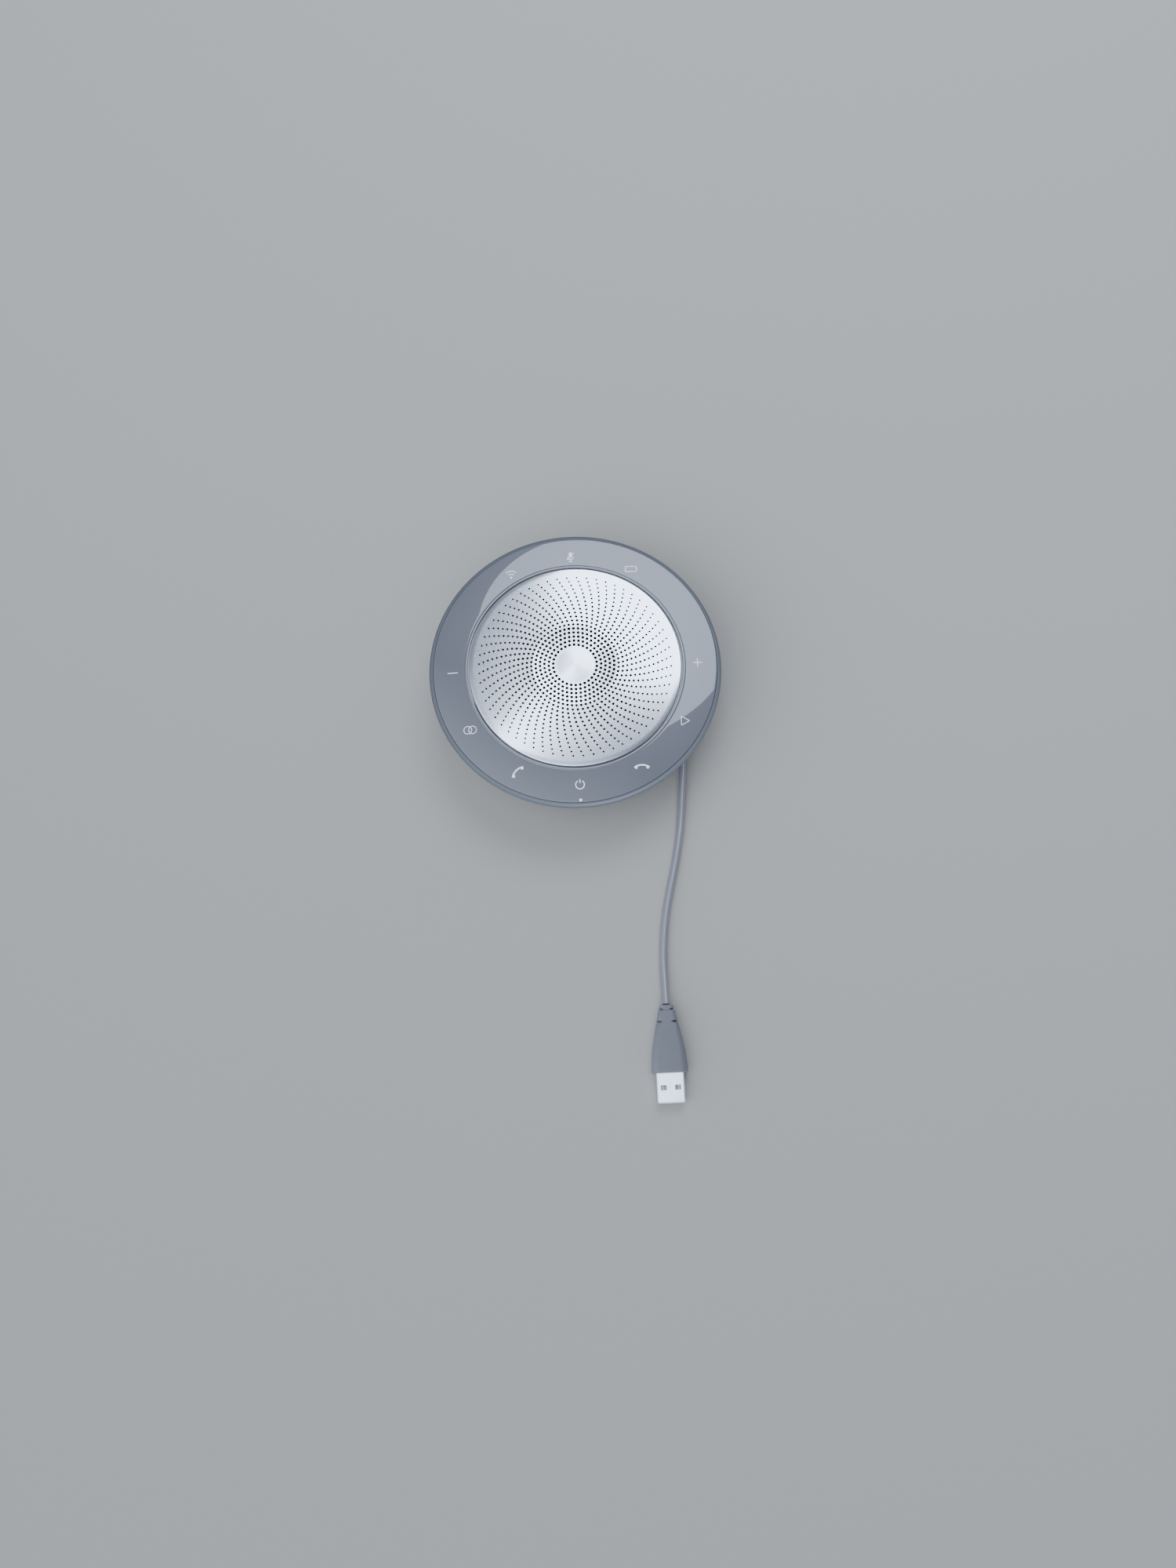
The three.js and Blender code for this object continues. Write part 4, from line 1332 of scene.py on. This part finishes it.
class SPEAKERPHONE_OT_housings(bpy.types.Operator):
    """Makes the rim, the bowl under it, and the neck that the cable winds round"""

    bl_idname = "speakerphone.housings"
    bl_label = "Housings"

    def execute(self, context):
        settings = context.scene.speakerphone_housing
        self.make_rim(settings)
        self.make_bowl(settings)
        return {"FINISHED"}

    def make_rim(self, settings):
        inner = RIM_RADIUS - settings.band
        floor = RIM_BOTTOM + settings.floor
        collar_inner = GRILLE_RADIUS + GAP
        ledge_top = GRILLE_BOTTOM - GAP
        shoulder = COLLAR_TOP - settings.band
        section = [
            (LEDGE_INNER, RIM_BOTTOM),
            (RIM_RADIUS - settings.taper, RIM_BOTTOM),
            (RIM_RADIUS, shoulder),
            (RIM_RADIUS - 0.1 * MM, shoulder + 0.6 * MM),
            (RIM_RADIUS - 0.45 * MM, COLLAR_TOP - 0.65 * MM),
            (RIM_RADIUS - 1.05 * MM, COLLAR_TOP - 0.2 * MM),
            (inner, COLLAR_TOP),
            (inner, floor),
            (TRIM_OUTER, floor),
            (TRIM_OUTER, COLLAR_TOP),
            (collar_inner, COLLAR_TOP),
            (collar_inner, ledge_top),
            (LEDGE_INNER, ledge_top),
        ]
        bm = lathed(filleted(section, settings.edge), SMOOTH)
        rim = add_piece("rim_shell", bm, "rim_plastic", ["upper_housing"], crease=60)
        light_only(rim, add_panel("rim_panel", (0.35, -1.15), (0.8, 0.8), 76))

    def make_bowl(self, settings):
        groove_top = COIL_TOP + GAP
        inner = NECK_RADIUS - settings.wall
        inner_start = groove_top + settings.wall / 2
        slope = (BOWL_TOP - groove_top) / (BOWL_RADIUS - NECK_RADIUS)
        section = [
            (inner, NECK_BOTTOM),
            (NECK_RADIUS, NECK_BOTTOM),
            (NECK_RADIUS, groove_top),
            (BOWL_RADIUS, BOWL_TOP),
            (inner + (BOWL_TOP - inner_start) / slope, BOWL_TOP),
            (inner, inner_start),
        ]
        bm = lathed(filleted(section, 0.8 * MM), SMOOTH)
        for number in FOUR:
            self.add_boss(bm, middle(f"case_screw_{number}"), inner)
        add_piece("bowl_and_neck", bm, "base_plastic", ["lower_housing"], crease=50)

    def add_boss(self, bm, place, wall_radius):
        """A post for two screws, tied to the neck's wall by a rib."""
        bottom = heights("battery_cell")[0] - 0.2 * MM
        top = heights("main_board")[0] - GAP
        axis = Vector((place.x, place.y, 0))
        bore, post, rib, overlap = 1.2 * MM, 2.8 * MM, 2.8 * MM, 0.5 * MM
        section = rectangle((bore, bottom), (post, top))
        lathe(bm, filleted(section, 0.25 * MM, steps=2), 32, axis)
        out = axis.xy.normalized()
        side = Vector((-out.y, out.x)) * rib / 2
        near = out * (axis.xy.length + post - 0.3 * MM)
        far = out * (wall_radius + overlap)
        slab(bm, [near - side, far - side, far + side, near + side], bottom, top)


# ------------------------------------------------------------------ base

STAND_CORNER = 9 * MM


def rounded_box(low, high, radius):
    """Plan outline of a box with rounded corners."""
    return filleted(rectangle(low, high), radius, steps=6)


class SPEAKERPHONE_OT_base(bpy.types.Operator):
    """Makes the bottom cover, its rubber foot, the fold-out stand and the case screws"""

    bl_idname = "speakerphone.base"
    bl_label = "Base and stand"

    def execute(self, context):
        self.make_cover(context.scene.speakerphone_housing)
        self.make_foot()
        self.make_stand()
        self.make_screws()
        return {"FINISHED"}

    def stand_outline(self, margin):
        """Plan outline of the stand, or of its pocket where there is a margin."""
        leg_low, leg_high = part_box("stand_leg")
        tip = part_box("stand_pad")[1].y
        corner = STAND_CORNER + margin
        low = (leg_low.x - margin, leg_low.y - margin)
        high = (leg_high.x + margin, tip + margin)
        back = [(low[0], low[1]), (high[0], low[1])]
        right = arc((high[0] - corner, high[1] - corner), corner, 0, 90, 12)
        left = arc((low[0] + corner, high[1] - corner), corner, 90, 180, 12)
        return back + [tuple(point) for point in right + left]

    def make_cover(self, settings):
        """The bottom cover with its foot groove, stand pocket, screw wells and adapter bay."""
        top = NECK_BOTTOM - GAP
        island = heights("battery_cell")[0] - 0.5 * MM
        island_radius = NECK_RADIUS - settings.wall - GAP
        section = [
            (0, COVER_BOTTOM),
            (COVER_RADIUS - 0.8 * MM, COVER_BOTTOM),
            (COVER_RADIUS, COVER_BOTTOM + 0.8 * MM),
            (COVER_RADIUS, top),
            (island_radius, top),
            (island_radius, island),
            (0, island),
        ]
        bm = lathed(filleted(section, 0.5 * MM, closed=False))
        cover = add_piece("cover_moulding", bm, "base_plastic", ["bottom_cover"])
        cutters = [self.foot_groove(), self.pocket(), self.notch(), *self.screw_wells()]
        bay_low, bay_high = self.bay_corners()
        wall = 1.2 * MM
        step = Vector((wall, wall))
        box = slabbed(rounded_box(bay_low - step, bay_high + step, 1.5 * MM), top, BAY_TOP)
        bay_box = add_cutter(box)
        modifier = cover.modifiers.new("bay", "BOOLEAN")
        modifier.operation = "UNION"
        modifier.object = bay_box
        bay = slabbed(rounded_box(bay_low, bay_high, MM), COVER_BOTTOM - MM, BAY_TOP - wall)
        cutters.append(add_cutter(bay))
        carve(cover, cutters, 0.2 * MM)
        bpy.data.objects.remove(bay_box)

    def bay_corners(self):
        centre = Vector((30.0, 3.75)) * MM
        half = Vector((14.6, 21.5)) * MM / 2
        return centre - half, centre + half

    def foot_groove(self):
        corners = (FOOT_INNER - GAP, COVER_BOTTOM - MM), (FOOT_OUTER + GAP, FOOT_TOP + GAP)
        return add_cutter(lathed(rectangle(*corners)))

    def pocket(self):
        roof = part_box("stand_leg")[1].z + GAP
        return add_cutter(slabbed(self.stand_outline(0.4 * MM), COVER_BOTTOM - MM, roof))

    def notch(self):
        """Room for the finger that lifts the stand."""
        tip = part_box("stand_pad")[1].y
        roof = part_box("stand_leg")[1].z + GAP
        half, ahead, corner = 9 * MM, 7 * MM, 3 * MM
        outline = rounded_box((-half, tip - half), (half, tip + ahead), corner)
        return add_cutter(slabbed(outline, COVER_BOTTOM - MM, roof))

    def screw_wells(self):
        wells = []
        shelf = COVER_BOTTOM + 1.8 * MM
        head, shank = 2.2 * MM, 1.2 * MM
        section = [
            (0, COVER_BOTTOM - MM),
            (head, COVER_BOTTOM - MM),
            (head, shelf),
            (shank, shelf),
            (shank, shelf + 6 * MM),
            (0, shelf + 6 * MM),
        ]
        for number in FOUR:
            place = middle(f"case_screw_{number}")
            wells.append(add_cutter(lathed(section, 32, Vector((place.x, place.y, 0)))))
        return wells

    def make_foot(self):
        section = filleted(rectangle((FOOT_INNER, 0), (FOOT_OUTER, FOOT_TOP)), 0.4 * MM)
        add_piece("foot_rubber_ring", lathed(section), "foot_rubber", ["foot_ring"])

    def make_stand(self):
        """The leg with its round hinge barrel, and the rubber on its tip."""
        leg_low, leg_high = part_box("stand_leg")
        pad_low, pad_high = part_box("stand_pad")
        outline = self.stand_outline(0)
        split = pad_low.y - GAP
        crossing = self.half_width_at(outline, split)
        back, front = outline[:2], [point for point in outline[2:] if point[1] < split]
        right = [point for point in front if point[0] > 0]
        left = [point for point in front if point[0] < 0]
        _, pivot_y, pivot_z = frame_joint("stand_fold")["pos_m"]
        leg_outline = [*back, *right, (crossing, split), (-crossing, split), *left]
        bm = slabbed([(x, max(y, pivot_y)) for x, y in leg_outline], leg_low.z, pad_high.z)
        radius = leg_high.z - pivot_z
        circle = [on_circle(radius, TURN * step / 32) for step in range(32)]
        ends = []
        for x in (leg_low.x, leg_high.x):
            ends.append([(x, pivot_y + point.x, pivot_z + point.y) for point in circle])
        skin_sections(bm, ends)
        nodes = ["stand_leg"]
        leg = add_piece("stand_leg_moulding", bm, "base_plastic", nodes, "stand")
        soften(leg, 0.3 * MM, 2)
        crossing = self.half_width_at(outline, pad_low.y)
        tip = [point for point in outline if point[1] > pad_low.y]
        tip = [(crossing, pad_low.y), *tip, (-crossing, pad_low.y)]
        bm = slabbed(tip, pad_low.z, pad_high.z)
        nodes = ["stand_pad"]
        pad = add_piece("stand_rubber_tip", bm, "foot_rubber", nodes, "stand")
        soften(pad, 0.4 * MM, 3)
        repaint("screw_steel", "hinge_pin_left", "hinge_pin_right")

    def half_width_at(self, outline, along):
        """Half the outline's width at a distance along Y."""
        for (x, y), (next_x, next_y) in zip(outline, outline[1:]):
            if y <= along <= next_y and x > 0:
                return x + (next_x - x) * (along - y) / max(next_y - y, 1e-9)
        raise ValueError("the outline doesn't reach that far along Y")

    def make_screws(self):
        for number in FOUR:
            make_screw(f"case_screw_{number}", head_up=False)
            make_screw(f"board_screw_{number}", head_up=True)


def frame_joint(name):
    """What the frame says about a joint."""
    for joint in frame["joints"]:
        if joint["name"] == name:
            return joint
    raise KeyError(name)


def make_screw(node, head_up):
    """A pan-head screw with a cross recess and a ridged shank."""
    low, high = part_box(node)
    place = (low + high) / 2
    head = (high.x - low.x) / 2
    shank, head_height, depth = 0.85 * MM, 1.2 * MM, 0.7 * MM
    tip, face, way = (low.z, high.z, 1) if head_up else (high.z, low.z, -1)
    seat = face - way * head_height
    section = [(0, tip), (shank * 0.4, tip)]
    ridges = 9
    for ridge in range(ridges):
        start = tip + (seat - tip) * (0.08 + 0.9 * ridge / ridges)
        peak = tip + (seat - tip) * (0.08 + 0.9 * (ridge + 0.5) / ridges)
        section += [(shank * 0.82, start), (shank, peak)]
    section += [
        (shank * 0.9, seat),
        (head, seat),
        (head, seat + way * head_height * 0.4),
        (head * 0.85, face - way * head_height * 0.12),
        (head * 0.55, face),
        (0, face),
    ]
    bm = lathed(section, 24, Vector((place.x, place.y, 0)))
    screw = add_piece(f"{node}_steel", bm, "screw_steel", [node], crease=40)
    recess = bmesh.new()
    floor, roof = sorted((face - way * depth, face + way * MM))
    for reach, half in ((1.1 * MM, 0.2 * MM), (0.2 * MM, 1.1 * MM)):
        corner = Vector((reach, half))
        slab(recess, rectangle(place.xy - corner, place.xy + corner), floor, roof)
    carve(screw, [add_cutter(recess)], crease=40)


# ------------------------------------------------------------------ insides


class SPEAKERPHONE_OT_loudspeaker(bpy.types.Operator):
    """Finishes the loudspeaker, its baffle and its seals"""

    bl_idname = "speakerphone.loudspeaker"
    bl_label = "Loudspeaker"

    def execute(self, context):
        repaint("base_plastic", "speaker_baffle")
        repaint("foam", "speaker_gasket")
        repaint("speaker_steel", "speaker_basket", "magnet_top_plate", "magnet_yoke")
        repaint("cone_paper", "speaker_cone", "dust_cap")
        repaint("foot_rubber", "cone_surround")
        self.make_spider()
        repaint("coil_copper", "voice_coil")
        repaint("ferrite", "speaker_magnet")
        return {"FINISHED"}

    def make_spider(self):
        """A corrugated ring of cloth, low enough for the cone's whole travel."""
        bottom = heights("cone_spider")[0]
        inner, outer = radii("cone_spider")
        sheet, wave, rise, waves, steps = 0.2 * MM, 0.12 * MM, 0.4 * MM, 5, 60
        upper = []
        for step in range(steps + 1):
            share = step / steps
            ripple = wave * math.sin(share * waves * TURN)
            height = bottom + wave + sheet + rise * (1 - share) + ripple
            upper.append((inner + (outer - inner) * share, height))
        section = [(radius, height - sheet) for radius, height in upper] + upper[::-1]
        bm = lathed(section, 96)
        add_piece("spider_cloth_ring", bm, "spider_cloth", ["cone_spider"])


class SPEAKERPHONE_OT_electronics(bpy.types.Operator):
    """Finishes the boards, chips, sockets, battery and microphone"""

    bl_idname = "speakerphone.electronics"
    bl_label = "Electronics"

    def execute(self, context):
        repaint("circuit_board", "main_board")
        repaint("shield_steel", "processor_shield", "wireless_module", "microphone_capsule")
        repaint("chip_plastic", "audio_amplifier")
        repaint("white_plastic", "cable_socket", "battery_socket")
        repaint("battery_foil", "battery_cell")
        repaint("foam", "battery_foam")
        repaint("foot_rubber", "microphone_boot")
        return {"FINISHED"}


# ------------------------------------------------------------------ panel and registration

STEPS = [
    SPEAKERPHONE_OT_stage,
    SPEAKERPHONE_OT_cable,
    SPEAKERPHONE_OT_grille,
    SPEAKERPHONE_OT_touch_ring,
    SPEAKERPHONE_OT_housings,
    SPEAKERPHONE_OT_base,
    SPEAKERPHONE_OT_loudspeaker,
    SPEAKERPHONE_OT_electronics,
]

SETTINGS = {
    "speakerphone_stage": StageSettings,
    "speakerphone_grille": GrilleSettings,
    "speakerphone_ring": RingSettings,
    "speakerphone_housing": HousingSettings,
    "speakerphone_cord": CordSettings,
}


class SPEAKERPHONE_PT_panel(bpy.types.Panel):
    """Lists the steps that build the speakerphone, and their settings"""

    bl_idname = "SPEAKERPHONE_PT_panel"
    bl_label = "Speakerphone"
    bl_space_type = "VIEW_3D"
    bl_region_type = "UI"
    bl_category = "Speakerphone"

    def draw(self, context):
        for step in STEPS:
            self.layout.operator(step.bl_idname, text=step.bl_label)
        for name in SETTINGS:
            group = getattr(context.scene, name)
            box = self.layout.box()
            for key in group.__annotations__:
                box.prop(group, key)


def register():
    for name, group in SETTINGS.items():
        bpy.utils.register_class(group)
        setattr(bpy.types.Scene, name, PointerProperty(type=group))
    for entry in [*STEPS, SPEAKERPHONE_PT_panel]:
        bpy.utils.register_class(entry)


def unregister():
    for entry in [SPEAKERPHONE_PT_panel, *reversed(STEPS)]:
        bpy.utils.unregister_class(entry)
    for name, group in SETTINGS.items():
        delattr(bpy.types.Scene, name)
        bpy.utils.unregister_class(group)


def main():
    register()
    bpy.ops.speakerphone.stage()
    bpy.ops.speakerphone.cable()
    bpy.ops.speakerphone.grille()
    bpy.ops.speakerphone.touch_ring()
    bpy.ops.speakerphone.housings()
    bpy.ops.speakerphone.base()
    bpy.ops.speakerphone.loudspeaker()
    bpy.ops.speakerphone.electronics()


if __name__ == "__main__":
    main()
